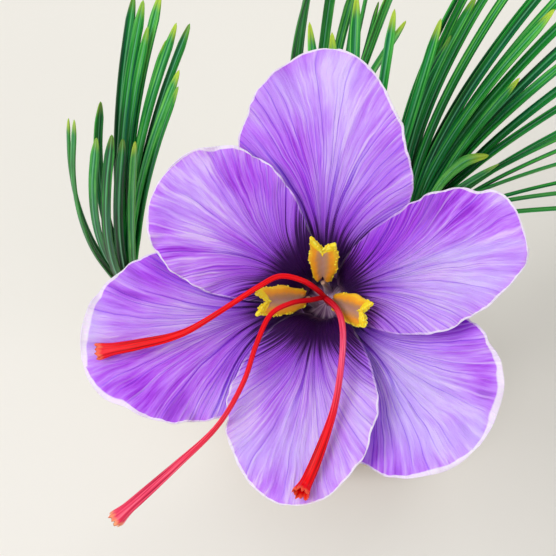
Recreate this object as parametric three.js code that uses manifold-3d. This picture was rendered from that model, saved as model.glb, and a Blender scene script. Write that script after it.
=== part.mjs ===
// A saffron crocus lifted with its corm, in millimetres, +Z up.
// The corm stands on its root plate at the origin. Four leafy shoots rise from it, and the middle one
// carries an open flower that leans towards -Y.
import * as THREE from 'three';
import { LoftGeometry } from 'three/addons/geometries/LoftGeometry.js';
import { mergeVertices } from 'three/addons/utils/BufferGeometryUtils.js';
import Module from 'manifold-3d';

const wasm = await Module();
wasm.setup();

// ---------------------------------------------------------------- driving dimensions

const GAP = 0.3; // between neighbouring pieces

const plate = { radius: 8.5, thick: 2, edge: 0.4, sides: 24 };
const roots = { count: 16, thick: 1.1, front: 16, back: 25, start: 6, sides: 5, steps: 5 };

const corm = {
  radius: 18, // at its widest
  bottom: plate.thick + GAP,
  widest: 13, // height of the widest ring
  top: 27,
  foot: 8.6, // radius of the flat under side
  collar: { radius: 6.6, top: 30 }, // ragged fibres round the middle shoot
  fibres: 22,
  relief: 0.4,
  hole: 12, // how long a shoot's hole is
};

const sheath = { wall: 0.9, taper: 0.92, lip: 1.1, sides: 12, steps: 6 };
// A leaf roots sink below the shoot's mouth, stays upright until it is clear of the sheath, then bends over.
const leaf = {
  width: 2.1, thick: 0.9, sink: 5, inset: 0.55, clear: 3.7,
  splay: 0.2, knee: 0.6, neck: 0.65, point: 0.15, steps: 8,
};

// The flower faces a viewer who looks down at it; its axis leans a little off that line.
const gaze = { elevation: 60, lean: 11, toward: 135 };
const throat = new THREE.Vector3(-4, -30, 95);

const tube = {
  radius: 1.5, rim: 4.9, dish: 2.75, dishDepth: 2, flare: 13, sides: 12, steps: 12,
  leaves: [0.8, -4, 21], // how it sets out from the corm
  straight: 22, // how far it already points along the flower's axis
};
const tepal = { thick: 0.7, shoulder: 1.6, flattensBy: 0.42, columns: 8, rows: 13, waves: 2.2 };
// slopes are measured from the flower's axis; cup is how far the blade curls up at its sides, in radians
const whorls = {
  outer: { throat: 4.3, halfClaw: 3.6, start: 18, end: 78, opensBy: 0.42, curl: 6, cup: 0.19 },
  inner: { throat: 3.3, halfClaw: 2.5, start: 8, end: 72, opensBy: 0.45, curl: 6, cup: 0.3 },
};
// Each blade by its angle round the flower, its length and its width. skew moves the tip sideways. For each
// of its two sides, widest is where along the blade it is broadest, and round is how blunt it ends.
const tepals = {
  outer_tepal_top: {
    whorl: 'outer', angle: 85.5, length: 38.8, width: 28,
    skew: 0.6, widest: [0.47, 0.57], round: [1.5, 1.8], wave: 0.5, phase: 0.2,
  },
  outer_tepal_left: {
    whorl: 'outer', angle: 198, length: 39, width: 28.2,
    skew: 0.8, widest: [0.57, 0.55], round: [2.1, 1.7], wave: 0.6, phase: 1.4,
  },
  outer_tepal_right: {
    whorl: 'outer', angle: 315, length: 35.6, width: 27.8,
    skew: 0, widest: [0.62, 0.62], round: [2.3, 2.4], wave: 0.5, phase: 2.2,
  },
  inner_tepal_left: {
    whorl: 'inner', angle: 143.5, length: 33, width: 22.6,
    skew: 0, widest: [0.64, 0.64], round: [2.6, 2.6], wave: 0.5, phase: 0.7,
  },
  inner_tepal_right: {
    whorl: 'inner', angle: 9, length: 37.8, width: 21.4,
    skew: 1.2, widest: [0.6, 0.66], round: [2.1, 3], wave: 0.6, phase: 2.9,
  },
  inner_tepal_low: {
    whorl: 'inner', angle: 266.5, length: 38.2, width: 23.6,
    skew: -0.4, widest: [0.6, 0.6], round: [1.9, 1.9], wave: 0.4, phase: 4.1,
  },
};

const filament = { radius: 0.55, foot: 1.8, headRadius: 2.1, headHeight: 5.7 };
const anther = { width: 4.8, thick: 1.6, furrow: 0.45, lobe: 0.62, steps: 9 };
const stamens = {
  top: { angle: 80, tip: 7.6, height: 13.8 },
  left: { angle: 193, tip: 9.4, height: 13.8 },
  right: { angle: 328, tip: 9.8, height: 15.2 },
};

// The three red stigma branches, as points (across, up, out along the axis) in the flower's own frame.
const style = { radius: 0.45, fork: [0.9, -0.6, 8] };
const stigma = { slim: 0.5, wide: 1.15, thick: 0.55, mouth: 1.3, sides: 8, steps: 13 };
const stigmas = {
  left: [
    [0.2, 0.1, 11], [-2, 1.3, 14], [-5.2, 1.7, 15.6], [-8.5, -0.1, 16.4],
    [-19.7, -7, 16], [-27, -9, 15.9], [-33.6, -10.1, 15.9],
  ],
  longest: [
    [-0.8, -1.3, 10.5], [-3.5, -2.2, 13.8], [-6.4, -4.1, 15.5], [-8.4, -8.8, 16.8],
    [-10.2, -14.9, 17.9], [-13.6, -21.2, 18.4], [-20.5, -27.4, 15.6], [-31.6, -35.9, 8.8],
  ],
  low: [
    [3.2, -2.8, 11], [4.5, -6.1, 14.3], [4.6, -12, 16.2],
    [3.7, -19, 17.6], [1.6, -25.9, 18.8], [-0.4, -30.8, 19.8],
  ],
};

// A shoot leaves the corm at foot and ends at mouth. Each of its leaves is given by where its tip lies from
// the mouth: azimuth (0 is +X, 90 is +Y), distance outwards and height. fan spreads the leaf roots round the
// shoot.
const shoots = {
  middle: {
    foot: [0, 0, 23.3], radius: 5.4, fan: 1, along: [0, 0.46],
    leaves: [
      [108, 22, 62], [88, 25, 64], [60, 30, 56], [152, 25, 33], [220, 25, 24], [320, 27, 28],
    ],
  },
  left: {
    foot: [-10.4, 1.2, 21.4], rise: [-22, 0, 5], mouth: [-38, 1, 46], radius: 4.4, fan: 1,
    leaves: [
      [176, 8, 54], [200, 7, 58], [262, 4, 56], [318, 4, 52], [22, 11, 58],
      [80, 17, 66], [62, 16, 70], [66, 13, 64], [54, 14, 61], [40, 16, 67],
    ],
  },
  right: {
    foot: [10.4, 4.2, 21.6], rise: [2.4, 1, 9], mouth: [12, 8, 46], radius: 4.6, fan: 2.6,
    leaves: [
      [62, 20, 65], [50, 27, 68], [64, 13, 52], [41, 37, 62], [22, 19, 46], [34, 38, 64], [26, 41, 58],
      [17, 38, 52], [8, 40, 45], [-20, 15, 38], [-5, 37, 49], [-15, 36, 43], [-22, 33, 36],
    ],
  },
  rear: {
    foot: [-3.6, 10.4, 21.6], rise: [-0.6, 2.2, 8], mouth: [-5, 17, 43], radius: 4, fan: 2.4,
    leaves: [
      [96, 6, 68], [84, 9, 76], [44, 10, 73], [18, 14, 69], [62, 14, 56], [30, 12, 60],
    ],
  },
};

// the papery bract covers this stretch of the flower's stem
const spathe = { wall: 0.6, radius: 2.7, along: [0.47, 0.72], tip: 3.5, sides: 10, steps: 5 };

const colours = {
  corm: 0x8a5a33, root: 0xe6d8b8, sheath: 0xe9e6d2, leaf: 0x1f6b34, spathe: 0xd8d6c4, tube: 0xc9b6dc,
  outer: 0xa97be0, inner: 0x9a6cd8, filament: 0xb79ab6, anther: 0xf2a814, stigma: 0xd3121c,
};

// ---------------------------------------------------------------- small helpers

const vec = (p) => new THREE.Vector3(...p);
const mix = (a, b, t) => a + (b - a) * t;
const smooth = (t) => THREE.MathUtils.smoothstep(t, 0, 1);
const rad = THREE.MathUtils.degToRad;

// a repeatable draw between 0 and 1
const draw = (seed) => {
  const s = Math.sin(seed * 12.9898) * 43758.5453;
  return s - Math.floor(s);
};

function solidOf(geometry) {
  const bare = new THREE.BufferGeometry();
  bare.setAttribute('position', geometry.attributes.position);
  bare.setIndex(geometry.index);
  const merged = mergeVertices(bare, 1e-4);
  return new wasm.Manifold(new wasm.Mesh({
    numProp: 3,
    vertProperties: merged.attributes.position.array,
    triVerts: new Uint32Array(merged.index.array),
  }));
}

// fills whatever small hollow is sealed in where several blades cross
const filled = (solid) => solid.decompose().filter((part) => part.volume() > 0).reduce((a, b) => a.add(b));

function geometryOf(solid) {
  const { numProp, vertProperties, triVerts } = solid.getMesh();
  const geometry = new THREE.BufferGeometry();
  const points = [];
  for (let i = 0; i < vertProperties.length; i += numProp) points.push(...vertProperties.subarray(i, i + 3));
  geometry.setAttribute('position', new THREE.Float32BufferAttribute(points, 3));
  geometry.setIndex([...triVerts]);
  geometry.computeVertexNormals();
  return geometry;
}

const loft = (sections) => new LoftGeometry(sections, { capStart: true, capEnd: true });

// Rings of `sides` points along a curve. radiusAt(t, angle) is the radius, alongAt(t, angle) a shift along.
function rings(curve, steps, sides, radiusAt, alongAt = () => 0) {
  const frames = curve.computeFrenetFrames(steps, false);
  const made = [];
  for (let i = 0; i <= steps; i++) {
    const t = i / steps;
    const centre = curve.getPointAt(t);
    const ring = [];
    for (let j = 0; j < sides; j++) {
      const a = (j / sides) * Math.PI * 2;
      ring.push(centre.clone()
        .addScaledVector(frames.normals[i], Math.cos(a) * radiusAt(t, a))
        .addScaledVector(frames.binormals[i], Math.sin(a) * radiusAt(t, a))
        .addScaledVector(frames.tangents[i], alongAt(t, a)));
    }
    made.push(ring);
  }
  return made;
}

// The same rings with one more at each end, moved on along the curve.
function beyond(curve, sections, before, after) {
  const moved = (ring, t, by) => ring.map((p) => p.clone().addScaledVector(curve.getTangentAt(t), by));
  return [moved(sections[0], 0, -before), ...sections, moved(sections.at(-1), 1, after)];
}

// A thin blade from two grids of points, rows by columns, split into triangles alike on both faces.
function bladeGeometry(upper, lower) {
  const rows = upper.length;
  const columns = upper[0].length;
  const points = [...upper.flat(), ...lower.flat()].flatMap((p) => p.toArray());
  const up = (i, j) => i * columns + j;
  const low = (i, j) => rows * columns + i * columns + j;
  const index = [];
  const quad = (a, b, c, d) => index.push(a, b, c, a, c, d);
  for (let i = 0; i < rows - 1; i++) {
    for (let j = 0; j < columns - 1; j++) {
      quad(up(i, j), up(i, j + 1), up(i + 1, j + 1), up(i + 1, j));
      index.push(low(i, j), low(i + 1, j + 1), low(i, j + 1));
      index.push(low(i, j), low(i + 1, j), low(i + 1, j + 1));
    }
    const last = columns - 1;
    quad(up(i, 0), up(i + 1, 0), low(i + 1, 0), low(i, 0));
    quad(up(i, last), low(i, last), low(i + 1, last), up(i + 1, last));
  }
  for (let j = 0; j < columns - 1; j++) {
    const end = rows - 1;
    quad(up(0, j), low(0, j), low(0, j + 1), up(0, j + 1));
    quad(up(end, j), up(end, j + 1), low(end, j + 1), low(end, j));
  }
  const geometry = new THREE.BufferGeometry();
  geometry.setAttribute('position', new THREE.Float32BufferAttribute(points, 3));
  geometry.setIndex(index);
  geometry.computeVertexNormals();
  return geometry;
}

function piece(name, geometry, color, roughness = 0.6) {
  const mesh = new THREE.Mesh(geometry, new THREE.MeshStandardMaterial({ color, roughness, metalness: 0 }));
  mesh.name = name;
  return mesh;
}

// ---------------------------------------------------------------- the flower's own frame

const right = new THREE.Vector3(1, 0, 0);
const elevation = rad(gaze.elevation);
const pictureUp = new THREE.Vector3(0, Math.sin(elevation), Math.cos(elevation));
const toViewer = new THREE.Vector3(0, -Math.cos(elevation), Math.sin(elevation));
const flowerAxis = toViewer.clone().multiplyScalar(Math.cos(rad(gaze.lean)))
  .addScaledVector(right, Math.sin(rad(gaze.lean)) * Math.cos(rad(gaze.toward)))
  .addScaledVector(pictureUp, Math.sin(rad(gaze.lean)) * Math.sin(rad(gaze.toward)));
const across = pictureUp.clone().cross(flowerAxis).normalize();
const up = flowerAxis.clone().cross(across);

const flower = new THREE.Group();
new THREE.Matrix4().makeBasis(across, up, flowerAxis).setPosition(throat)
  .decompose(flower.position, flower.quaternion, flower.scale);

// ---------------------------------------------------------------- tepals

// Middle line of a tepal: distance from the axis, height and slope at each row, by summing small steps.
function midrib(t, whorl, along) {
  const steps = 200;
  const slopeAt = (v) => rad(mix(whorl.start, whorl.end, smooth(v / whorl.opensBy))
    + whorl.curl * Math.max(0, v - 0.6) / 0.4);
  const line = [{ r: whorl.throat, h: GAP }];
  for (let i = 1; i <= steps; i++) {
    const slope = slopeAt((i - 0.5) / steps);
    const last = line[i - 1];
    const step = t.length / steps;
    line.push({ r: last.r + Math.sin(slope) * step, h: last.h + Math.cos(slope) * step });
  }
  return along.map((v) => ({ ...line[Math.round(v * steps)], slope: slopeAt(v), v }));
}

// How far the edge on one side (0 or 1) is from the midrib.
function halfWidth(t, whorl, v, edge) {
  const half = t.width / 2;
  const widest = t.widest[edge];
  if (v > widest) return half * Math.sqrt(1 - ((v - widest) / (1 - widest)) ** t.round[edge]);
  return mix(whorl.halfClaw, half, Math.sin((v / widest) * Math.PI / 2) ** tepal.shoulder);
}

function tepalGeometry(t) {
  const whorl = whorls[t.whorl];
  // rows crowd towards the tip, and the last one is a little short of it
  const along = Array.from({ length: tepal.rows + 1 }, (_, i) => 1 - (1 - i / tepal.rows * 0.965) ** 1.35);
  const out = new THREE.Vector3(Math.cos(rad(t.angle)), Math.sin(rad(t.angle)), 0);
  const side = new THREE.Vector3(-out.y, out.x, 0);
  const upper = [];
  const lower = [];
  for (const { r, h, slope, v } of midrib(t, whorl, along)) {
    const face = out.clone().multiplyScalar(-Math.cos(slope)).setZ(Math.sin(slope));
    // the claw follows the round throat, and the blade above it is only a shallow cup
    const curled = mix(whorl.halfClaw / whorl.throat, whorl.cup, smooth(v / tepal.flattensBy));
    const rows = [[], []];
    for (let j = 0; j <= tepal.columns; j++) {
      const u = (j / tepal.columns) * 2 - 1;
      const half = halfWidth(t, whorl, v, u < 0 ? 0 : 1);
      const bend = half / curled;
      const waving = t.wave * smooth((v - 0.25) / 0.4) * Math.min(1, half / (t.width * 0.25));
      const turn = u * curled;
      const wave = waving * Math.abs(u) ** 3
        * Math.sin(Math.PI * 2 * tepal.waves * v + t.phase + (u > 0 ? 1.9 : 0));
      const point = out.clone().multiplyScalar(r).setZ(h)
        .addScaledVector(side, bend * Math.sin(turn) + t.skew * smooth(v))
        .addScaledVector(face, bend * (1 - Math.cos(turn)) + wave);
      const normal = face.clone().multiplyScalar(Math.cos(turn)).addScaledVector(side, -Math.sin(turn));
      rows[0].push(point.clone().addScaledVector(normal, tepal.thick / 2));
      rows[1].push(point.clone().addScaledVector(normal, -tepal.thick / 2));
    }
    upper.push(rows[0].reverse());
    lower.push(rows[1].reverse());
  }
  return bladeGeometry(upper, lower);
}

for (const [name, t] of Object.entries(tepals)) {
  flower.add(piece(name, tepalGeometry(t), colours[t.whorl]));
}

// ---------------------------------------------------------------- stamens

function stamen(name, s) {
  const out = new THREE.Vector3(Math.cos(rad(s.angle)), Math.sin(rad(s.angle)), 0);
  const side = new THREE.Vector3(-out.y, out.x, 0);
  const foot = out.clone().multiplyScalar(filament.foot).setZ(GAP - tube.dishDepth);
  const head = out.clone().multiplyScalar(filament.headRadius).setZ(filament.headHeight);
  const tip = out.clone().multiplyScalar(s.tip).setZ(s.height);
  const lean = tip.clone().sub(head).normalize();
  const stalk = new THREE.LineCurve3(foot, head);
  flower.add(piece(`filament_${name}`, loft(rings(stalk, 2, 8, () => filament.radius)), colours.filament));

  // two swollen lobes with a furrow between them, notched at both ends
  const face = lean.clone().cross(side);
  const start = head.clone().addScaledVector(lean, GAP + 0.15);
  const length = tip.distanceTo(start);
  const sections = [];
  for (let i = 0; i <= anther.steps; i++) {
    const t = i / anther.steps;
    const swell = Math.sqrt(Math.sin(Math.PI * mix(0.1, 0.93, t)));
    const half = (anther.width / 2) * swell;
    const depth = (anther.thick / 2) * mix(0.7, 1, swell);
    const lobe = half * anther.lobe;
    const furrow = depth - anther.furrow;
    const profile = [
      [-half, 0], [-lobe, -depth], [0, -furrow], [lobe, -depth],
      [half, 0], [lobe, depth], [0, furrow], [-lobe, depth],
    ];
    const centre = start.clone().addScaledVector(lean, t * length);
    sections.push(profile.map(([x, y]) => centre.clone().addScaledVector(side, x).addScaledVector(face, y)));
  }
  flower.add(piece(`anther_${name}`, loft(sections), colours.anther, 0.8));
}

for (const [name, s] of Object.entries(stamens)) stamen(name, s);

// ---------------------------------------------------------------- pistil: style and three stigma branches

// Rings along a branch, with its wide side lying flat to the flower's face; it widens to a trumpet mouth.
function branchSections(points) {
  const fork = vec(style.fork);
  const curve = new THREE.CatmullRomCurve3([fork.clone().setZ(fork.z - 1), fork, ...points.map(vec)]);
  const sections = [];
  for (let i = 0; i <= stigma.steps; i++) {
    const t = i / stigma.steps;
    const centre = curve.getPointAt(t);
    const tangent = curve.getTangentAt(t);
    const side = new THREE.Vector3(0, 0, 1).cross(tangent);
    if (side.lengthSq() < 0.05) side.set(1, 0, 0).cross(tangent);
    side.normalize();
    const face = tangent.clone().cross(side);
    const blade = mix(stigma.slim, stigma.wide, smooth((t - 0.35) / 0.6));
    const broad = mix(blade, stigma.mouth, smooth((t - 0.93) / 0.07));
    const deep = mix(stigma.slim, stigma.thick, t);
    sections.push(Array.from({ length: stigma.sides }, (_, j) => {
      const a = (j / stigma.sides) * Math.PI * 2;
      return centre.clone()
        .addScaledVector(side, Math.cos(a) * broad).addScaledVector(face, Math.sin(a) * deep);
    }));
  }
  return sections;
}

function pistilGeometry() {
  const foot = new THREE.Vector3(0, 0, GAP - tube.dishDepth);
  const stalk = new THREE.LineCurve3(foot, vec(style.fork));
  let whole = solidOf(loft(rings(stalk, 3, stigma.sides, () => style.radius)));
  for (const points of Object.values(stigmas)) whole = whole.add(solidOf(loft(branchSections(points))));
  return geometryOf(filled(whole));
}

flower.add(piece('pistil', pistilGeometry(), colours.stigma, 0.45));

// ---------------------------------------------------------------- shoots: tube, sheaths and leaves

// The flower's stem rises from the corm and ends along the flower's axis, where the tube starts to flare.
const stemFoot = vec(shoots.middle.foot).setZ(shoots.middle.foot[2] + 1);
const stemEnd = throat.clone().addScaledVector(flowerAxis, -tube.flare);
const stem = new THREE.CubicBezierCurve3(
  stemFoot,
  stemFoot.clone().add(vec(tube.leaves)),
  stemEnd.clone().addScaledVector(flowerAxis, -tube.straight),
  stemEnd,
);
const stemRings = (radius) => rings(stem, tube.steps, tube.sides, () => radius);
const stemBore = solidOf(loft(beyond(stem, stemRings(tube.radius + GAP), 3, 0)));

function tubeGeometry() {
  const sections = stemRings(tube.radius);
  // the flare starts its rings where the stem's last ring does, so that the wall doesn't twist
  const spokes = sections.at(-1).map((p) => p.clone().sub(stemEnd).normalize());
  const ringAt = (height, radius) => spokes.map((spoke) => throat.clone()
    .addScaledVector(flowerAxis, height).addScaledVector(spoke, radius));
  for (const t of [0.25, 0.5, 0.75, 1]) {
    sections.push(ringAt(tube.flare * (t - 1), mix(tube.radius, tube.rim, t ** 1.8)));
  }
  const dish = solidOf(loft([ringAt(-tube.dishDepth, tube.dish), ringAt(1, tube.dish)]));
  return geometryOf(solidOf(loft(sections)).subtract(dish));
}

// One leaf, from its root low in the shoot to its tip, bending over as it rises.
function leafGeometry(shoot, path, [azimuth, reach, height], middle) {
  const mouth = path.getPoint(1);
  const axis = path.getTangentAt(1);
  const vertical = new THREE.Vector3(0, 0, 1);
  // where round the shoot it roots
  const apart = ((azimuth - middle + 540) % 360) - 180;
  const turn = rad(middle + apart * shoot.fan);
  const outward = new THREE.Vector3(Math.cos(turn), Math.sin(turn), 0);
  outward.addScaledVector(axis, -outward.dot(axis)).normalize();
  const offset = shoot.radius * sheath.taper - sheath.wall - GAP - leaf.inset;
  const root = path.getPointAt(1 - leaf.sink / path.getLength()).addScaledVector(outward, offset);
  const clear = mouth.clone().addScaledVector(outward, offset).addScaledVector(axis, leaf.clear);
  // where it ends
  const away = new THREE.Vector3(Math.cos(rad(azimuth)), Math.sin(rad(azimuth)), 0);
  const tip = mouth.clone().addScaledVector(away, reach).addScaledVector(vertical, height);
  const heading = axis.clone().lerp(vertical, 0.5).addScaledVector(outward, leaf.splay).normalize();
  const knee = clear.clone().addScaledVector(heading, height * leaf.knee);
  const bow = new THREE.QuadraticBezierCurve3(clear, knee, tip);
  const curve = new THREE.CatmullRomCurve3([root, ...bow.getPoints(4)]);
  const sections = [];
  let side = curve.getTangentAt(0).cross(outward);
  for (let i = 0; i <= leaf.steps; i++) {
    const t = i / leaf.steps;
    const centre = curve.getPointAt(t);
    const tangent = curve.getTangentAt(t);
    side = side.clone().addScaledVector(tangent, -side.dot(tangent)).normalize();
    const face = tangent.clone().cross(side);
    const taper = Math.min(1, 0.35 + 0.65 * Math.sqrt((1 - t) / leaf.point));
    const half = (leaf.width / 2) * mix(leaf.neck, 1, smooth(t / 0.35)) * taper;
    const thick = (leaf.thick / 2) * mix(0.75, 1, taper);
    const profile = [[half, -thick], [half, thick], [-half, thick], [-half, -thick]];
    sections.push(profile.map(([x, y]) => centre.clone().addScaledVector(side, x).addScaledVector(face, y)));
  }
  return loft(sections);
}

function shootPath(shoot) {
  // the middle shoot wraps the flower's stem, so it follows the same line
  if (shoot.along) {
    const part = (t) => stem.getPoint(mix(...shoot.along, t));
    return new THREE.CatmullRomCurve3([0, 0.25, 0.5, 0.75, 1].map(part));
  }
  const foot = vec(shoot.foot);
  return new THREE.QuadraticBezierCurve3(foot, foot.clone().add(vec(shoot.rise)), vec(shoot.mouth));
}

const plant = new THREE.Group();
const cormCuts = [];

function addShoot(name, shoot) {
  const path = shootPath(shoot);
  const outer = (t) => shoot.radius * mix(1, sheath.taper, t);
  const inner = (t) => outer(t) - sheath.wall;

  // the sheath ends in an oblique lip
  const lip = (t, a) => (t === 1 ? sheath.lip * (1 + Math.cos(a - 1.2)) : 0);
  const skin = solidOf(loft(rings(path, sheath.steps, sheath.sides, outer, lip)));
  const hollow = solidOf(loft(beyond(path, rings(path, sheath.steps, sheath.sides, inner), 2, 6)));
  plant.add(piece(`sheath_${name}`, geometryOf(skin.subtract(hollow)), colours.sheath));

  // the leaves are joined to the shoot's core, which fills the sheath
  let tuft = solidOf(loft(rings(path, sheath.steps, sheath.sides, (t) => inner(t) - GAP)));
  const middle = shoot.leaves.reduce((sum, [azimuth]) => sum + azimuth, 0) / shoot.leaves.length;
  for (const l of shoot.leaves) tuft = tuft.add(solidOf(leafGeometry(shoot, path, l, middle)));
  if (shoot.along) tuft = tuft.subtract(stemBore);
  plant.add(piece(`leaves_${name}`, geometryOf(filled(tuft)), colours.leaf, 0.5));

  // the hole in the corm that the shoot stands in
  const below = path.getPoint(0).addScaledVector(path.getTangentAt(0), -GAP);
  const above = path.getPoint(0).addScaledVector(path.getTangentAt(0), corm.hole);
  const line = new THREE.LineCurve3(below, above);
  cormCuts.push(solidOf(loft(rings(line, 1, 16, () => shoot.radius + GAP + 0.1))));
}

for (const [name, shoot] of Object.entries(shoots)) addShoot(name, shoot);
plant.add(piece('perianth_tube', tubeGeometry(), colours.tube));

// a papery bract round the tube, just above the leaves, drawn out to a point on one side
function spatheGeometry() {
  const part = (t) => stem.getPoint(mix(...spathe.along, t));
  const path = new THREE.CatmullRomCurve3([0, 0.25, 0.5, 0.75, 1].map(part));
  const swell = (t) => mix(tube.radius + GAP + spathe.wall, spathe.radius, Math.sin(t * Math.PI * 0.7));
  const tip = (t, a) => (t === 1 ? spathe.tip * Math.cos(a) : 0);
  return geometryOf(solidOf(loft(rings(path, spathe.steps, spathe.sides, swell, tip))).subtract(stemBore));
}
plant.add(piece('spathe', spatheGeometry(), colours.spathe));

// ---------------------------------------------------------------- corm and roots

// Radius and height of the corm's rings, from the flat foot over the widest one to the collar.
function cormProfile() {
  const rows = [];
  const under = 5;
  for (let i = 0; i <= under; i++) {
    const a = (i / under) * Math.PI / 2;
    const radius = mix(corm.foot, corm.radius, Math.sin(a));
    rows.push([radius, mix(corm.widest, corm.bottom, Math.cos(a) ** 0.9)]);
  }
  const over = 6;
  for (let i = 1; i <= over; i++) {
    const a = (i / over) * Math.PI / 2;
    const radius = mix(corm.collar.radius + 0.6, corm.radius, Math.cos(a) ** 1.3);
    rows.push([radius, mix(corm.widest, corm.top, Math.sin(a))]);
  }
  rows.push([corm.collar.radius, corm.collar.top]);
  return rows;
}

// A squat globe in a coat of parallel fibres that ends in a ragged collar.
function cormGeometry() {
  const points = corm.fibres * 2;
  const rows = cormProfile();
  const sections = rows.map(([radius, z], i) => Array.from({ length: points }, (_, j) => {
    const a = (j / points) * Math.PI * 2;
    const strand = j % 2 === 0 ? 1 : -0.6;
    const fibre = i === 0 ? 0 : corm.relief * strand * (0.6 + 0.7 * draw(Math.floor(j / 2) + 3));
    const uneven = 1 + 0.02 * Math.cos(2 * a + 0.7) + 0.012 * Math.cos(3 * a + 2);
    const ragged = i === rows.length - 1 ? strand * draw(j + 0.5) : 0;
    const swirl = a + 0.1 * (z / corm.top);
    const reach = radius * uneven + fibre;
    return new THREE.Vector3(Math.cos(swirl) * reach, Math.sin(swirl) * reach, z + ragged);
  }));
  let whole = solidOf(loft(sections));
  for (const cut of cormCuts) whole = whole.subtract(cut);
  return geometryOf(whole);
}

function plateGeometry() {
  const { radius, thick, edge, sides } = plate;
  const outline = [[radius - edge, 0], [radius, edge], [radius, thick - edge], [radius - edge, thick]];
  return loft(outline.map(([r, z]) => Array.from({ length: sides }, (_, j) => {
    const a = (j / sides) * Math.PI * 2;
    return new THREE.Vector3(Math.cos(a) * r, Math.sin(a) * r, z);
  })));
}

// Short roots fan out from the plate and rest on the ground, longer towards the back.
function rootGeometry() {
  let whole = solidOf(plateGeometry());
  for (let i = 0; i < roots.count; i++) {
    const a = (i / roots.count) * Math.PI * 2 + (draw(i + 70) - 0.5) * 0.12;
    const reach = mix(roots.front, roots.back, (1 + Math.sin(a)) / 2) * mix(0.85, 1, draw(i + 71.5));
    const bend = (draw(i + 73) - 0.5) * 0.3;
    const at = (r, turn, z) => new THREE.Vector3(Math.cos(a + turn) * r, Math.sin(a + turn) * r, z);
    const curve = new THREE.CatmullRomCurve3([
      at(roots.start, 0, 1.05),
      at(plate.radius + 1, 0, 1.2),
      at(mix(plate.radius, reach, 0.55), bend, 0.8),
      at(reach, -bend * 0.6, 0.42),
    ]);
    const radiusAt = (t) => (roots.thick / 2) * mix(1, 0.6, t);
    whole = whole.add(solidOf(loft(rings(curve, roots.steps, roots.sides, radiusAt))));
  }
  return geometryOf(whole);
}

plant.add(piece('corm', cormGeometry(), colours.corm, 0.85));
plant.add(piece('roots', rootGeometry(), colours.root, 0.8));
plant.add(flower);

export default plant;
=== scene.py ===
import math

import bpy
import numpy as np
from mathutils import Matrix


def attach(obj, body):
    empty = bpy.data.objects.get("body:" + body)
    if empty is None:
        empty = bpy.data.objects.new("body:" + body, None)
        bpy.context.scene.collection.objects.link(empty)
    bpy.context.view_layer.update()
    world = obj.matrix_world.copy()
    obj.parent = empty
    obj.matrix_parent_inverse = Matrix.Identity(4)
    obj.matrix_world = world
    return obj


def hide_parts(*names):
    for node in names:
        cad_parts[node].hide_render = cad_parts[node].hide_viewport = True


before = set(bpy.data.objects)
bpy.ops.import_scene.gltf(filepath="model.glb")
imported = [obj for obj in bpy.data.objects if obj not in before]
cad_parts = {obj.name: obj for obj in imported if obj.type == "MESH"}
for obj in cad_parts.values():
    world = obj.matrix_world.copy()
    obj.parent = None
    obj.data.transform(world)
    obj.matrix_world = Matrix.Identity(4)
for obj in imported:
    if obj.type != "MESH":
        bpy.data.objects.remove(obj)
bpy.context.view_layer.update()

# Saffron crocus lifted with its corm. Lengths are in millimetres, and become metres in a mesh.
mm = 0.001
fullTurn = 2 * math.pi
up = np.array([0, 0, 1.0])
bpy.ops.object.select_all(action='DESELECT')


# small helpers for numbers and lines

def mix(a, b, t):
    return a + (b - a) * t


def ease(x, start=0, end=1):  # a soft step from 0 at start to 1 at end
    t = np.clip((x - start) / (end - start), 0, 1)
    return t * t * (3 - 2 * t)


def hill(x, at, width):  # 1 at one place, falling away on both sides
    return np.exp(-((x - at) / width) ** 2)


def dome(t):  # rises from 0 to 1 as a quarter of a circle
    return np.sqrt(np.clip(1 - (1 - np.clip(t, 0, 1)) ** 2, 0, 1))


def arc(t):  # rises from 0 to 1 as a sine does, and ends level
    return np.sin(np.clip(t, 0, 1) * math.pi / 2)


def crowded(t):  # shares from 0 to 1, drawn towards both ends
    return t - 0.13 * np.sin(fullTurn * t)


def waves(x, *rows):  # a sum of waves, each given by its height, pace and shift
    return sum(height * np.sin(x * pace + shift) for height, pace, shift in rows)


def unit(v):
    return v / np.linalg.norm(v, axis=-1, keepdims=True)


def heading(angle):  # the level direction at this angle in radians
    return np.array([math.cos(angle), math.sin(angle), 0])


def draw(seed):  # a repeatable draw between 0 and 1
    s = np.sin(np.asarray(seed, float) * 12.9898) * 43758.5453
    return s - np.floor(s)


def bezier(points, count=80):
    t = np.linspace(0, 1, count)[:, None]
    level = [np.array(p, float) for p in points]
    while len(level) > 1:
        level = [mix(a, b, t) for a, b in zip(level, level[1:])]
    return level[0]


def smoothLine(points, perStretch=16):  # a smooth line through the points
    p = [np.array(q, float) for q in points]
    p = [2 * p[0] - p[1], *p, 2 * p[-1] - p[-2]]
    line = []
    for a, b, c, d in zip(p, p[1:], p[2:], p[3:]):
        ab, bc, cd = (np.linalg.norm(y - x) ** 0.5 for x, y in ((a, b), (b, c), (c, d)))
        leave = ((b - a) / ab - (c - a) / (ab + bc) + (c - b) / bc) * bc
        arrive = ((c - b) / bc - (d - b) / (bc + cd) + (d - c) / cd) * bc
        t = np.linspace(0, 1, perStretch, endpoint=False)[:, None]
        line.append(b * (2 * t**3 - 3 * t**2 + 1) + leave * (t**3 - 2 * t**2 + t)
                    + c * (3 * t**2 - 2 * t**3) + arrive * (t**3 - t**2))
    return np.concatenate([*line, p[-2][None]])


def lengthOf(line):
    return np.linalg.norm(np.diff(line, axis=0), axis=1).sum()


def pointsOn(line, shares):  # points at these shares of the line's length
    reach = np.concatenate([[0], np.cumsum(np.linalg.norm(np.diff(line, axis=0), axis=1))])
    return np.stack([np.interp(np.asarray(shares) * reach[-1], reach, line[:, k]) for k in range(3)], -1)


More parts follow.
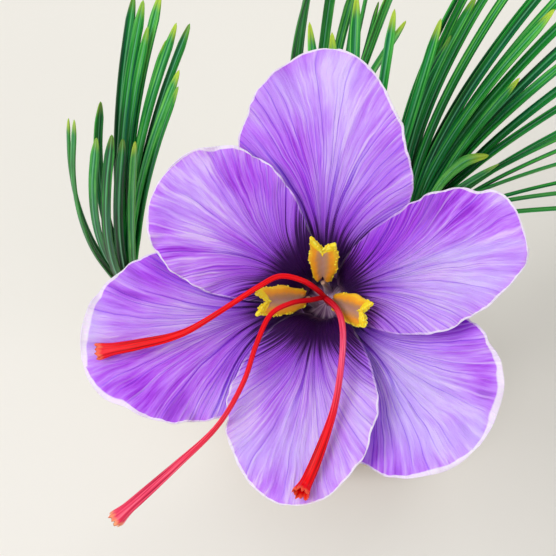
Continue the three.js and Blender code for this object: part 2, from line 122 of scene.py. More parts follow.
def turned(side, face, angle):  # both turned about the line they stand on
    return side * np.cos(angle) + face * np.sin(angle), face * np.cos(angle) - side * np.sin(angle)


def directionsOn(line, shares, step=0.01):
    return unit(pointsOn(line, np.clip(shares + step, 0, 1)) - pointsOn(line, np.clip(shares - step, 0, 1)))


def framesOn(line, shares, side=(1, 0.01, 0.02)):  # point, direction, side and face of the line at each share
    directions = directionsOn(line, shares)
    side = np.array(side, float)
    sides = []
    for direction in directions:
        side = unit(side - direction * side.dot(direction))
        sides.append(side)
    return pointsOn(line, shares), directions, np.array(sides), np.cross(directions, sides)


def beside(frames, row, x, y):  # places that lie x to the line's side and y off its face
    points, _, sides, faces = frames
    return points[row] + sides[row] * x[:, None] + faces[row] * y[:, None]


def ringed(frames, row, turn, reach):
    return beside(frames, row, np.cos(turn) * reach, np.sin(turn) * reach)


# small helpers for meshes

def addSheet(name, columns, rows, shape, closed=True):
    # shape takes each point's share across and along and its row, and gives its place and what the
    # material reads there
    bpy.ops.mesh.primitive_grid_add(x_subdivisions=columns, y_subdivisions=rows, size=2)
    piece = bpy.context.active_object
    piece.name = piece.data.name = name
    flat = np.empty(len(piece.data.vertices) * 3, np.float32)
    piece.data.vertices.foreach_get('co', flat)
    across, along = np.clip((flat.reshape(-1, 3)[:, :2].T.astype(float) + 1) / 2, 0, 1)
    points, values = shape(across, along, np.rint(along * rows).astype(int))
    piece.data.vertices.foreach_set('co', (points * mm).astype(np.float32).ravel())
    for label, numbers in values.items():
        kept = piece.data.attributes.new(label, 'FLOAT', 'POINT')
        kept.data.foreach_set('value', np.broadcast_to(numbers, len(points)).astype(np.float32))
    piece.data.update()
    if closed:
        bpy.ops.object.mode_set(mode='EDIT')
        bpy.ops.mesh.select_all(action='SELECT')
        bpy.ops.mesh.remove_doubles(threshold=0.002 * mm)
        bpy.ops.mesh.normals_make_consistent(inside=False)
        bpy.ops.object.mode_set(mode='OBJECT')
    bpy.ops.object.shade_smooth()
    return piece


def addTube(name, line, radius, sides=14, rows=40, **values):
    # a closed round tube with rounded ends; radius gets the share along and the angle
    length = lengthOf(line)
    shares = crowded(np.arange(rows + 1) / rows)
    frames = framesOn(line, shares)

    def shape(across, along, row):
        turn, share = across * fullTurn, shares[row]
        reach = radius(share, turn)
        reach = reach * dome(np.minimum(share, 1 - share) * length / np.maximum(reach, 1e-6))
        return ringed(frames, row, turn, reach), {'alongPiece': share, **values}

    return addSheet(name, sides, rows, shape)


def addSleeve(name, line, radius, lip, wall, sides=56, rows=60, **values):
    # a thin open tube with a ragged lip; it starts as a sheet and gets its wall afterwards
    shares = np.arange(rows + 1) / rows
    frames = framesOn(line, shares)

    def shape(across, along, row):
        turn, share = across * fullTurn, shares[row]
        ahead = lip(turn) * ease(share, 0.6, 1)  # the rows below the lip lean with it
        placed = ringed(frames, row, turn, radius(share, turn)) + frames[1][row] * ahead[:, None]
        return placed, {'alongPiece': share, **values}

    sleeve = addSheet(name, sides, rows, shape)
    applied(sleeve, 'SOLIDIFY', thickness=wall * mm, offset=-1)
    bpy.ops.object.shade_smooth()
    return sleeve


def joined(name, parts):
    bpy.ops.object.select_all(action='DESELECT')
    for part in parts:
        part.select_set(True)
    bpy.context.view_layer.objects.active = parts[0]
    bpy.ops.object.join()
    parts[0].name = parts[0].data.name = name
    return parts[0]


def applied(piece, kind, **settings):
    bpy.ops.object.select_all(action='DESELECT')
    piece.select_set(True)
    bpy.context.view_layer.objects.active = piece
    modifier = piece.modifiers.new(kind.title(), kind)
    for key, value in settings.items():
        setattr(modifier, key, value)
    bpy.ops.object.modifier_apply(modifier=modifier.name)


def settled(piece, slot, node, *finishes):
    for finish in finishes:
        piece.data.materials.append(finish)
    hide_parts(node)
    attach(piece, 'root')


# small helpers for materials

times, timesPlus = {'operation': 'MULTIPLY'}, {'operation': 'MULTIPLY_ADD'}
soft, plain = {'interpolation_type': 'SMOOTHSTEP'}, {}  # two ways for a range to pass between its ends


def colour(code):  # sRGB hex to the linear colour that Blender works in
    parts = [int(code[i:i + 2], 16) / 255 for i in (1, 3, 5)]
    return [c / 12.92 if c <= 0.04045 else ((c + 0.055) / 1.055) ** 2.4 for c in parts] + [1]


def newMaterial(name):
    # gives the function that adds a node to a new material; it hands back the socket to go on from, and the
    # material itself for the output node
    finish = bpy.data.materials.new(name)
    finish.use_nodes = True
    tree = finish.node_tree
    tree.nodes.clear()

    def put(kind, inputs=(), ramp=(), out=0, **settings):
        made = tree.nodes.new('ShaderNode' + kind)
        for key, value in settings.items():
            setattr(made, key, value)
        spots = made.color_ramp.elements if ramp else []
        while len(spots) < len(ramp):
            spots.new(1)
        for spot, (place, code) in zip(spots, ramp):
            spot.position, spot.color = place, colour(code)
        for key, value in inputs.items() if isinstance(inputs, dict) else enumerate(inputs):
            if isinstance(value, bpy.types.NodeSocket):
                tree.links.new(value, made.inputs[key])
            else:
                made.inputs[key].default_value = value
        return made.outputs[out] if made.outputs else finish

    return put


def every(size):  # repeats for a pattern of this size in millimetres
    return [1 / (size * mm)] * 3


def grownSkin(name, look):
    # a skin that reads attributes, adds noises in sums, and takes its colour from the sum called tone along a
    # ramp; layers of colour or of the veins' own ramp go over it, and its bumps are felt one over the other
    put = newMaterial(name)
    found = {label: put('Attribute', attribute_name=label, out='Fac') for label in look.get('reads', ())}
    if look['place'] == 'reads':
        place = put('CombineXYZ', list(found.values())[:3])
    else:
        place = put('TexCoord', out='Object') if look['place'] == 'Object' else put('UVMap')
    for label, (source, *limits) in look.get('ranges', {}).items():
        found[label] = put('MapRange', (found[source], *limits))
    for label, repeats, detail in look['noises']:
        stretched = put('VectorMath', (place, repeats), **times)
        found[label] = put('TexNoise', {'Vector': stretched, 'Scale': 1, 'Detail': detail,
                                        'Roughness': look.get('coarse', 0.5)})
    for label, (start, *rows) in look['sums'].items():
        total = found.get(start, start)
        for source, weight in rows:
            total = put('Math', (found[source], weight, total), **timesPlus)
        found[label] = total
    painted = put('ValToRGB', (found['tone'],), ramp=look['ramp'])
    for source, start, end, most, above, way in look.get('layers', ()):
        share = put('MapRange', (found[source], start, end, 0, found.get(most, most)), **way)
        above = colour(above) if isinstance(above, str) else put('ValToRGB', (found['veins'],), ramp=above)
        painted = put('Mix', {0: share, 6: painted, 7: above}, out=2, data_type='RGBA')
    felt = {}
    for source, strength, distance in look.get('bumps', ()):
        bump = {'Height': found[source], 'Strength': strength, 'Distance': distance * mm, **felt}
        felt = {'Normal': put('Bump', bump)}
    skin = put('BsdfPrincipled', {'Base Color': painted, **look['skin'], **felt})
    return put('OutputMaterial', {'Surface': skin})


# camera, floor and light

gaze = {'elevation': 60, 'lean': 11, 'toward': 135}  # degrees
throat = np.array([-4, -30, 95.0])
view = {
    'sensor': 36, 'pictureSide': 556, 'pixelsPerTangent': 2503, 'distance': 400, 'across': -7.51, 'up': 3.52,
}
lampTarget = throat * mm * 0.8  # a little below the flower
lamps = {  # place in metres, size, power
    'window': ((-0.45, -0.25, 0.75), 0.55, 4.1),
    'fill': ((0.65, -0.55, 0.45), 0.7, 1.7),
    'behind': ((0.1, 0.75, 0.55), 0.6, 1.8),
}

rise = math.radians(gaze['elevation'])
pictureRight = np.array([1, 0, 0.0])
pictureUp = np.array([0, math.sin(rise), math.cos(rise)])
toViewer = np.array([0, -math.cos(rise), math.sin(rise)])


def addCamera():
    place = throat + pictureRight * view['across'] + pictureUp * view['up'] + toViewer * view['distance']
    bpy.ops.object.camera_add(location=place * mm, rotation=(math.pi / 2 - rise, 0, 0))
    camera = bpy.context.active_object
    camera.data.sensor_width = view['sensor']
    camera.data.lens = view['pixelsPerTangent'] / view['pictureSide'] * view['sensor']
    camera.data.clip_start, camera.data.clip_end = 0.01, 20
    bpy.context.scene.camera = camera


def paperMaterial():  # matt card, rolled: no grain shows at this distance
    put = newMaterial('Rolled_card_pale')
    place = put('VectorMath', (put('TexCoord', out='Object'), [0.2] * 3, [0.6] * 3), **timesPlus)
    cloud = put('TexNoise', {'Vector': place, 'Scale': 1, 'Detail': 2})
    tint = put('ValToRGB', (cloud,), ramp=[(0.3, '#E4E1DA'), (0.7, '#ECE9E3')])
    return put('OutputMaterial', {'Surface': put('BsdfPrincipled', {'Base Color': tint, 'Roughness': 0.85})})


def addStudio():
    bpy.ops.mesh.primitive_plane_add(size=6, location=(0, 0, -0.02 * mm))
    floor = bpy.context.active_object
    floor.name = 'studio_floor'
    floor.data.materials.append(paperMaterial())
    for name, (place, size, power) in lamps.items():
        bpy.ops.object.light_add(type='AREA', location=place)
        lamp = bpy.context.active_object
        lamp.name = name
        lamp.data.shape, lamp.data.size, lamp.data.energy = 'DISK', size, power
        x, y, z = lampTarget - np.array(place)
        lamp.rotation_euler = [math.atan2(math.hypot(x, y), -z), 0, math.atan2(-x, y)]
    world = bpy.data.worlds.new('pale_room')
    bpy.context.scene.world = world
    world.use_nodes = True
    world.node_tree.nodes['Background'].inputs[0].default_value = colour('#F2F1EE')
    world.node_tree.nodes['Background'].inputs[1].default_value = 0.6
    bpy.context.scene.view_settings.view_transform = 'Standard'


addCamera()
addStudio()
print('camera, floor and light done')


# the flower's own frame: across, up, and out along its axis

lean, toward = math.radians(gaze['lean']), math.radians(gaze['toward'])
flowerAxis = (toViewer * math.cos(lean) + pictureRight * math.sin(lean) * math.cos(toward)
              + pictureUp * math.sin(lean) * math.sin(toward))
flowerAcross = unit(np.cross(pictureUp, flowerAxis))
flowerFrame = np.array([flowerAcross, np.cross(flowerAxis, flowerAcross), flowerAxis])


def fromFlower(points):
    return throat + np.asarray(points, float) @ flowerFrame


# tepals

petal = {
    'thick': 0.42, 'edge': 0.35, 'taper': 1.6,  # edge is the share of the thickness left at the margin
    'gap': 0.3, 'shoulder': 1.6, 'flattensBy': 0.42, 'columns': 120, 'rows': 120, 'waves': 2.2, 'sway': 0.08,
    'rooted': 0.02, 'groove': 0.3, 'pleat': 0.13, 'ruffle': 0.4, 'nibble': 0.012, 'fountain': 11,
    'crowding': 9, 'curl': 6, 'curlsFrom': 0.6, 'reach': 0.987, 'tipRows': 1.45, 'steps': 400, 'nudge': 0.004,
    'pleats': ((11, 1.0), (19, 0.8), (33, 0.6), (57, 0.45)),  # how many, and how strong
}
whorls = {  # slopes in degrees from the flower's axis
    'outer': {'throat': 4.3, 'halfClaw': 3.6, 'start': 18, 'end': 78, 'opensBy': 0.42, 'cup': 0.19},
    'inner': {'throat': 3.3, 'halfClaw': 2.5, 'start': 8, 'end': 72, 'opensBy': 0.45, 'cup': 0.3},
}
# the pale patches are a lighter, bluer tint of the skin and also painted highlights
# violet and pale are soft patches: side (-1 to 1), along (0 to 1), spread across, spread along, strength
# notches: side, along, how deep and how wide; palerRim: side, along, spread, extra width in mm
petals = {
    'outer_tepal_top': {
        'whorl': 'outer', 'angle': 85.5, 'length': 38.8, 'width': 28, 'skew': 0.6, 'darkReach': 0,
        'widest': [0.47, 0.57], 'round': [1.5, 1.8], 'wave': 0.5, 'phase': 0.2, 'seed': 3,
        'violet': [[0.8, 0.6, 0.4, 0.12, 0.6], [-0.75, 0.6, 0.35, 0.16, 0.5], [0.25, 0.5, 0.3, 0.2, 0.5]],
        'pale': [[0.1, 0.9, 0.8, 0.16, 0.9], [-0.2, 0.65, 0.3, 0.25, 0.5], [0.9, 0.5, 0.2, 0.1, 0.5]],
        'notches': [[1, 0.93, 0.05, 0.03]], 'palerRim': [[-1, 0.75, 0.15, 0.25]],
    },
    'outer_tepal_left': {
        'whorl': 'outer', 'angle': 198, 'length': 39, 'width': 28.2, 'skew': 0.8, 'darkReach': 0.04,
        'widest': [0.57, 0.55], 'round': [2.1, 1.7], 'wave': 0.6, 'phase': 1.4, 'seed': 11,
        'violet': [[-0.75, 0.62, 0.3, 0.2, 0.9], [0.75, 0.78, 0.4, 0.14, 1], [0, 0.85, 0.5, 0.12, 0.5],
                   [0.45, 0.5, 0.25, 0.15, 0.6]],
        'pale': [[0.9, 0.45, 0.25, 0.12, 0.6], [-0.2, 0.6, 0.25, 0.2, 0.5], [-0.6, 0.93, 0.4, 0.06, 0.7]],
        'notches': [[1, 0.9, 0.1, 0.05]], 'palerRim': [[1, 0.93, 0.1, 0.8], [-1, 0.96, 0.12, 1.2]],
    },
    'outer_tepal_right': {
        'whorl': 'outer', 'angle': 315, 'length': 35.6, 'width': 27.8, 'skew': 0, 'darkReach': -0.02,
        'widest': [0.62, 0.62], 'round': [2.3, 2.4], 'wave': 0.5, 'phase': 2.2, 'seed': 19,
        'violet': [[0.75, 0.5, 0.35, 0.18, 0.8], [0.1, 0.9, 0.16, 0.08, 1], [0.65, 0.86, 0.2, 0.08, 0.9],
                   [-0.55, 0.55, 0.3, 0.2, 0.5]],
        'pale': [[0.15, 0.65, 0.35, 0.35, 1], [-0.3, 0.75, 0.4, 0.25, 1], [0.4, 0.95, 0.3, 0.08, 0.8]],
        'notches': [[1, 0.95, 0.08, 0.03]], 'palerRim': [[1, 0.88, 0.16, 1.0], [-1, 0.96, 0.1, 0.7]],
    },
    'inner_tepal_left': {
        'whorl': 'inner', 'angle': 143.5, 'length': 33, 'width': 22.6, 'skew': 0, 'darkReach': 0.1,
        'widest': [0.64, 0.64], 'round': [2.6, 2.6], 'wave': 0.5, 'phase': 0.7, 'seed': 23,
        'violet': [[-0.7, 0.62, 0.35, 0.22, 1], [0.6, 0.85, 0.3, 0.1, 0.6], [0.2, 0.5, 0.5, 0.16, 0.4]],
        'pale': [[0.2, 0.8, 0.4, 0.2, 0.5], [-0.3, 0.92, 0.5, 0.08, 0.3]],
        'notches': [[-1, 0.9, 0.06, 0.04]], 'palerRim': [[-1, 0.86, 0.06, 0.6]],
    },
    'inner_tepal_right': {
        'whorl': 'inner', 'angle': 9, 'length': 37.8, 'width': 21.4, 'skew': 1.2, 'darkReach': 0.03,
        'widest': [0.58, 0.68], 'round': [1.7, 4], 'wave': 0.6, 'phase': 2.9, 'seed': 31,
        'violet': [[0.75, 0.6, 0.45, 0.25, 1], [0.6, 0.85, 0.3, 0.12, 0.5], [0.5, 0.4, 0.4, 0.12, 0.8]],
        'pale': [[0.05, 0.7, 0.12, 0.4, 0.9], [-0.5, 0.65, 0.5, 0.35, 1], [0.95, 0.93, 0.2, 0.06, 0.4]],
        'notches': [[1, 0.84, 0.1, 0.05]], 'palerRim': [[1, 0.9, 0.1, 0.2]],
    },
    'inner_tepal_low': {
        'whorl': 'inner', 'angle': 266.5, 'length': 38.2, 'width': 23.6, 'skew': -0.4, 'darkReach': 0.08,
        'widest': [0.6, 0.6], 'round': [1.9, 1.9], 'wave': 0.4, 'phase': 4.1, 'seed': 43,
        'violet': [[-0.4, 0.62, 0.15, 0.25, 0.6], [0.55, 0.75, 0.3, 0.15, 0.5], [-0.6, 0.4, 0.3, 0.12, 0.5]],
        'pale': [[0.0, 0.8, 0.5, 0.3, 0.9], [-0.85, 0.7, 0.25, 0.25, 0.7], [0.8, 0.6, 0.25, 0.25, 0.8]],
        'notches': [], 'palerRim': [[-1, 0.85, 0.15, 0.15]],
    },
}


def halfWidth(look, whorl, edge, v):  # from the midrib to the margin on one side (edge is 0 or 1)
    half, widest = look['width'] / 2, look['widest'][edge]
    beyond = np.clip((v - widest) / (1 - widest), 0, 1)
    closing = half * np.sqrt(np.clip(1 - beyond ** look['round'][edge], 0, 1))
    opening = mix(whorl['halfClaw'], half, arc(v / widest) ** petal['shoulder'])
    shaped = np.where(v > widest, closing, opening)
    started = look['seed'] * (edge + 1.7)
    nibbled = waves(v, (1, 31, started + 31), (1 / 2, 53, started + 53), (1 / 3, 97, started + 97))
    shaped = shaped * (1 + petal['nibble'] * nibbled * ease(v, 0.3, 0.6))
    for side, at, depth, width in look['notches']:
        if (side > 0) == bool(edge):
            shaped = shaped * (1 - depth * hill(v, at, width))
    return shaped


def petalShape(look):
    whorl, seed, length = whorls[look['whorl']], look['seed'], look['length']
    steps = np.linspace(0, 1, petal['steps'] + 1)
    curled = np.clip(steps - petal['curlsFrom'], 0, 1) / (1 - petal['curlsFrom'])
    opened = ease(steps, 0, whorl['opensBy'])
    slopes = np.radians(mix(whorl['start'], whorl['end'], opened) + petal['curl'] * curled)
    outward, height = (start + np.concatenate([[0], np.cumsum(way(slopes[1:]) * length / petal['steps'])])
                       for start, way in ((whorl['throat'], np.sin), (petal['gap'], np.cos)))
    out = heading(math.radians(look['angle']))
    side = np.cross(up, out)

    def shape(across, along, row):
        u = 1 - 2 * across
        v = 1 - (1 - along * petal['reach']) ** petal['tipRows'] - petal['rooted'] * (1 - ease(along, 0, 0.1))
        shaped = np.clip(v, 0, 1)
        below = np.minimum(v, 0) * length
        slope = np.interp(shaped, steps, slopes)
        r = np.interp(shaped, steps, outward) + below * math.sin(slopes[0])
        h = np.interp(shaped, steps, height) + below * math.cos(slopes[0])
        face = np.sin(slope)[:, None] * up - np.cos(slope)[:, None] * out

        def halfAt(v):
            return np.where(u < 0, halfWidth(look, whorl, 0, v), halfWidth(look, whorl, 1, v))

        half, nudge = halfAt(shaped), petal['nudge']
        widened = halfAt(np.minimum(shaped + nudge, 1)) - halfAt(np.maximum(shaped - nudge, 0))
        steep = widened / (2 * nudge * length)
        curved = mix(whorl['halfClaw'] / whorl['throat'], whorl['cup'], ease(shaped, 0, petal['flattensBy']))
        turn, bend = u * curved, half / curved

        # veins rise from the claw and bend outwards to the margin, as the jets of a fountain do
        widest = np.where(u < 0, look['widest'][0], look['widest'][1])
        opened = np.clip((shaped - 0.2) / 0.8, 0, 1)
        spread = np.where(shaped > widest, look['width'] / 2, half) * (1 + petal['fountain'] * opened**2)
        fan = np.sin(turn) / curved * half / spread
        thread = np.arcsinh(petal['crowding'] * fan) / math.asinh(petal['crowding'])

        raised = ease(shaped, 0.2, 0.5)
        wave = look['wave'] * ease(shaped, 0.25, 0.65) * np.minimum(1, half / (look['width'] * 0.25))
        waving = np.sin(fullTurn * petal['waves'] * shaped + look['phase'] + (u > 0) * 1.9)
        wave = wave * np.abs(u) ** 3 * waving
        ruffle = petal['ruffle'] * raised * np.abs(u) ** 6 * waves(
            shaped, (1, 37, seed + (u > 0) * 2), (0.6, 71, seed * 2 + 4 - (u > 0) * 3))
        groove = petal['groove'] * hill(np.sin(turn) * half, 0, 0.85) * ease(shaped, 0, 0.2)
        groove = groove * (1 - ease(shaped, 0.7, 1))
        pleats = petal['pleat'] * raised * sum(np.cos(thread * f + seed * f) * g for f, g in petal['pleats'])
        lift = bend * (1 - np.cos(turn)) + wave + ruffle - groove + pleats
        points = r[:, None] * out + h[:, None] * up + face * lift[:, None]
        points = points + side * (bend * np.sin(turn) + look['skew'] * ease(shaped))[:, None]

        # pale patches: a lighter tint that also holds painted highlights
        patches = {label: sum(k * hill(u, x, dx) * hill(shaped, y, dy) for x, y, dx, dy, k in look[label])
                   for label in ('violet', 'pale')}
        paler = sum((np.sign(s) == np.sign(u)) * w * hill(shaped, at, d) for s, at, d, w in look['palerRim'])
        return fromFlower(points), {
            'veinFan': fan, 'outwardThread': thread, 'alongBlade': shaped, 'rimExtra': paler,
            'rimDistance': half * (1 - np.abs(u)) / np.sqrt(1 + steep**2),
            'bladeSeed': seed, 'darkReach': look['darkReach'],
            'violetPatch': np.clip(patches['violet'], 0, 1), 'palePatch': np.clip(patches['pale'], 0, 1)}

    return shape


# hazeAndHighlight to rim are painted over the ramp in this order, each with its strength and colour; the
# lavender haze, strongest on the pale patches, is partly a painted highlight
petalFace = {
    'ramp': [(0.38, '#9424D0'), (0.54, '#AC4CE8'), (0.7, '#BA70F2'), (0.84, '#C48AF6'), (1, '#D8B4F8')],
    'hazeAndHighlight': (0.6, '#CBBFFA'), 'fine': (0.55, '#B070FA'), 'main': (0.8, '#7C34E0'), 'pale': (0.36, '#EEDAFC'),
    'flush': (0.72, '#8A24D4'), 'dark': (0.97, '#30024C'), 'claw': (0.75, '#B688B8'),
    'rim': (0.75, '#F6F1FA'), 'flushEnd': 0.42, 'darkEnd': 0.165,
}
petalBack = {
    'ramp': [(0.4, '#9656DA'), (0.6, '#B080E8'), (0.8, '#C4A0F0'), (1, '#DCC8F8')],
    'hazeAndHighlight': (0.6, '#D4C6F8'), 'fine': (0.3, '#BC98EC'), 'main': (0.3, '#A070D8'), 'pale': (0.3, '#E6DCF8'),
    'flush': (0.55, '#8E54D4'), 'dark': (0.6, '#9460D0'), 'claw': (0.75, '#AC84D8'),
    'rim': (0.75, '#F6F1FA'), 'flushEnd': 0.36, 'darkEnd': 0.06,
}


def petalMaterial(name, look):
    # living tepal skin: silky, slightly translucent, with sap-dark veins that fan from a near-black throat
    put = newMaterial(name)
    read = {label: put('Attribute', attribute_name=label, out='Fac') for label in (
        'veinFan', 'outwardThread', 'alongBlade', 'rimDistance', 'rimExtra', 'bladeSeed', 'darkReach',
        'violetPatch', 'palePatch')}
    along = read['alongBlade']

    # noises drawn out along the veins: repeats across and along, detail, and whether they sway with the veins
    noise = {'sway': 0}
    for label, acrossRepeats, alongRepeats, detail, sways in (
            ('sway', 3, 3, 2, 0), ('streak', 16, 1.6, 2, 1), ('broad', 5, 2, 2, 0), ('thread', 90, 4, 3, 1),
            ('crinkle', 38, 5, 3, 1), ('cloud', 4, 3, 2, 0), ('margin', 14, 9, 2, 0)):
        wavy = put('Math', (noise['sway'], petal['sway'] * sways, read['outwardThread']), **timesPlus)
        place = put('CombineXYZ', (wavy, along, read['bladeSeed']))
        place = put('VectorMath', (place, (acrossRepeats, alongRepeats, 1)), **times)
        noise[label] = put('TexNoise', {'Vector': place, 'Scale': 1, 'Detail': detail, 'Roughness': 0.55})

    # veins at even places across a fan: how many, how thick at the foot and the tip, and how far they
    # reach at least and at most; each has its own length and thins out along the blade
    veins = {}
    for label, fan, count, thick, thin, short, long in (
            ('main', 'veinFan', 25, 0.36, 0.05, 0.3, 0.75),
            ('fine', 'outwardThread', 75, 0.4, 0.13, 0.3, 1.2),
            ('pale', 'outwardThread', 57, 0.28, 0.2, 0.7, 1.5)):
        counted = put('Math', (noise['sway'], petal['sway'], read[fan]), **timesPlus)
        counted = put('Math', (counted, count / 2), **times)
        line = put('Math', (counted,), operation='ROUND')
        off = put('Math', (put('Math', (counted, line), operation='SUBTRACT'),), operation='ABSOLUTE')
        seeded = put('Math', (line, read['bladeSeed']), operation='ADD')
        chance = put('TexWhiteNoise', {'W': seeded}, noise_dimensions='1D')
        ends = put('MapRange', (chance, 0, 1, short, long))
        there = put('MapRange', (along, ends, put('Math', (ends, 0.3), operation='SUBTRACT')), **soft)
        width = put('MapRange', (along, 0.12, 0.75, thick, thin))
        drawn = put('MapRange', (off, width, put('Math', (width, 0.25), **times)), **soft)
        veins[label] = put('Math', (drawn, there), **times)

    streaky = put('MapRange', (noise['streak'], 0.35, 0.6, 0.45, 1.3))
    violet = put('Math', (read['violetPatch'], streaky), **times)
    # the crinkle that gives the bump also paints light on its crests and shade in its hollows, more so out
    # along the blade
    crinkleLightAndShade = put('Math', (noise['crinkle'], 0.5), operation='SUBTRACT')
    folded = put('MapRange', (along, 0.3, 0.75, 0.5, 1.25))
    sums = {  # where each starts, then what is added and its weight
        'tone': (0.08, (noise['streak'], 0.35), (noise['broad'], 0.7), (noise['thread'], 0.4), (crinkleLightAndShade, folded),
                 (violet, -0.34), (read['palePatch'], 0.1)),
        'hazeAndHighlight': (noise['cloud'], (read['palePatch'], 0.55)),
        'dark': (along, (noise['streak'], -0.12), (veins['main'], -0.1), (veins['fine'], -0.06),
                 (read['darkReach'], -1)),
        'claw': (along, (noise['streak'], 0.3)),
        'relief': (noise['thread'], (noise['crinkle'], 3.2), (veins['main'], -0.8), (veins['fine'], -0.4)),
    }
    for label, (total, *rows) in sums.items():
        for value, weight in rows:
            total = put('Math', (value, weight, total), **timesPlus)
        sums[label] = total

    rimWidth = put('MapRange', (noise['margin'], 0.35, 0.65, 0.12, 0.4))
    rimWidth = put('Math', (read['rimExtra'], rimWidth), operation='ADD')
    rimStart = put('Math', (rimWidth, 0.7), **times)
    shares = {  # of each colour that is painted on; the dark throat is drawn out along the veins
        'hazeAndHighlight': [put('MapRange', (sums['hazeAndHighlight'], 0.45, 1.1))],
        'fine': [veins['fine']],
        'main': [veins['main']],
        'pale': [veins['pale'], put('MapRange', (along, 0.3, 0.6)),
                 put('MapRange', (noise['streak'], 0.45, 0.65))],
        'flush': [put('MapRange', (sums['dark'], look['flushEnd'], look['darkEnd']), **soft)],
        'dark': [put('MapRange', (sums['dark'], look['darkEnd'] + 0.06, look['darkEnd'] - 0.06), **soft)],
        'claw': [put('MapRange', (sums['claw'], 0.26, 0.13), **soft)],
        'rim': [put('MapRange', (read['rimDistance'], rimWidth, rimStart), **soft),
                put('MapRange', (along, 0.35, 0.65, 0.1))],
    }
    painted = put('ValToRGB', (sums['tone'],), ramp=look['ramp'])
    for label, parts in shares.items():
        strength, code = look[label]
        for part in parts:
            strength = put('Math', (part, strength), **times)
        painted = put('Mix', {0: strength, 6: painted, 7: colour(code)}, out=2, data_type='RGBA',
                      blend_type='MULTIPLY' if label in ('fine', 'main') else 'MIX')

    skin = put('BsdfPrincipled', {
        'Base Color': painted, 'Roughness': put('MapRange', (noise['thread'], 0, 1, 0.42, 0.6)), 'IOR': 1.4,
        'Normal': put('Bump', {'Height': sums['relief'], 'Strength': 0.7, 'Distance': 0.25 * mm}),
        'Specular IOR Level': 0.35, 'Subsurface Weight': 0.3, 'Subsurface Radius': (1.0, 0.6, 1.2),
        'Subsurface Scale': 0.6 * mm})
    return put('OutputMaterial', {'Surface': skin})


petalSkins = [petalMaterial('Tepal_skin_grown_silky', petalFace),
              petalMaterial('Tepal_back_grown_matt', petalBack)]


def addPetal(node, look):
    name = node.replace('tepal', 'petal')
    blade = addSheet(name, petal['columns'], petal['rows'], petalShape(look), closed=False)
    rim = np.empty(len(blade.data.vertices), np.float32)
    blade.data.attributes['rimDistance'].data.foreach_get('value', rim)
    for finish in petalSkins:  # both have to be there before the wall is made
        blade.data.materials.append(finish)
    group = blade.vertex_groups.new(name='thickness')
    for index, weight in enumerate(ease(rim, 0, petal['taper'])):
        group.add([index], float(weight), 'REPLACE')
    applied(blade, 'SOLIDIFY', thickness=petal['thick'] * mm, offset=0, vertex_group='thickness',
            thickness_vertex_group=petal['edge'], material_offset=1)
    blade.vertex_groups.clear()
    bpy.ops.object.shade_smooth()
    settled(blade, 'tepal_' + look['whorl'], node)


for node, look in petals.items():
    addPetal(node, look)
print('tepals done')


# stamens

stamen = {'foot': 1.7, 'sunk': 5, 'headRadius': 2.1, 'headHeight': 5.7, 'stalk': 0.56, 'waist': 0.44}
anther = {
    'width': 4.6, 'thick': 1.8, 'furrow': 0.5, 'slit': 0.16, 'horn': 3.2, 'barb': 1.9, 'band': 0.34,
    'curl': 0.6, 'lip': 0.6, 'grains': 420, 'grain': 0.15, 'columns': 64, 'rows': 60,
}
# tip: how far out and how high; dusty is the share of the pollen on one side, and uneven is how much longer
# the horn on that side is
stamens = {
    'top': {'angle': 80, 'tip': (7.6, 13.8), 'seed': 5, 'spin': 0.0, 'dusty': 0.3, 'uneven': 0.35},
    'left': {'angle': 193, 'tip': (9.4, 13.8), 'seed': 9, 'spin': -0.25, 'dusty': 0.8, 'uneven': -0.1},
    'right': {'angle': 334, 'tip': (9.8, 15.2), 'seed': 17, 'spin': 0.3, 'dusty': 0.15, 'uneven': 0.5},
}

# soft stalk skin, grown: dull lilac grey, paler and finely furred towards its foot
filamentSkin = grownSkin('Filament_skin_grown_soft', {
    'place': 'Object', 'reads': ['alongPiece'], 'noises': [('fur', every(0.25), 3)],
    'sums': {'tone': (0, ('alongPiece', 1), ('fur', 0.35))}, 'bumps': [('fur', 0.6, 0.08)],
    'ramp': [(0.1, '#DCCADD'), (0.45, '#C0A2C6'), (0.8, '#C09AB0'), (1, '#CB9F8A')],
    'skin': {'Roughness': 0.6, 'Sheen Weight': 0.3, 'Subsurface Weight': 0.2, 'Subsurface Scale': 0.5 * mm}})
# dry pollen, shed: bright matt yellow grains
pollenSkin = grownSkin('Pollen_dry_shed', {
    'place': 'Object', 'noises': [('grain', every(0.5), 2)], 'sums': {'tone': (0, ('grain', 1))},
    'ramp': [(0.3, '#FCC80C'), (0.45, '#FFE01C'), (0.65, '#FFF05A')],
    'skin': {'Roughness': 0.8, 'Subsurface Weight': 0.2, 'Subsurface Scale': 0.3 * mm}})
# pollen sac, grown: waxy amber lobes beside a dull grey-tan band, dusted yellow
antherSkin = grownSkin('Pollen_sac_grown_waxy', {
    'place': 'Object', 'reads': ['acrossAnther', 'pollenCrust'],
    'noises': [('grain', every(0.22), 3), ('cloud', every(1.6), 2)],
    'sums': {'tone': (-0.1, ('acrossAnther', 1), ('cloud', 0.4)), 'dust': ('pollenCrust', ('grain', 0.5))},
    'ramp': [(0.2, '#B88C78'), (0.42, '#C4905C'), (0.64, '#EE9C26'), (0.88, '#FAB01A'), (1, '#FFC824')],
    'layers': [('dust', 0.65, 0.95, 1, '#FFE01C', plain)], 'bumps': [('grain', 0.7, 0.12)],
    'skin': {'Roughness': 0.55, 'Subsurface Weight': 0.2, 'Subsurface Scale': 0.5 * mm,
             'Subsurface Radius': (1, 0.5, 0.1)}})


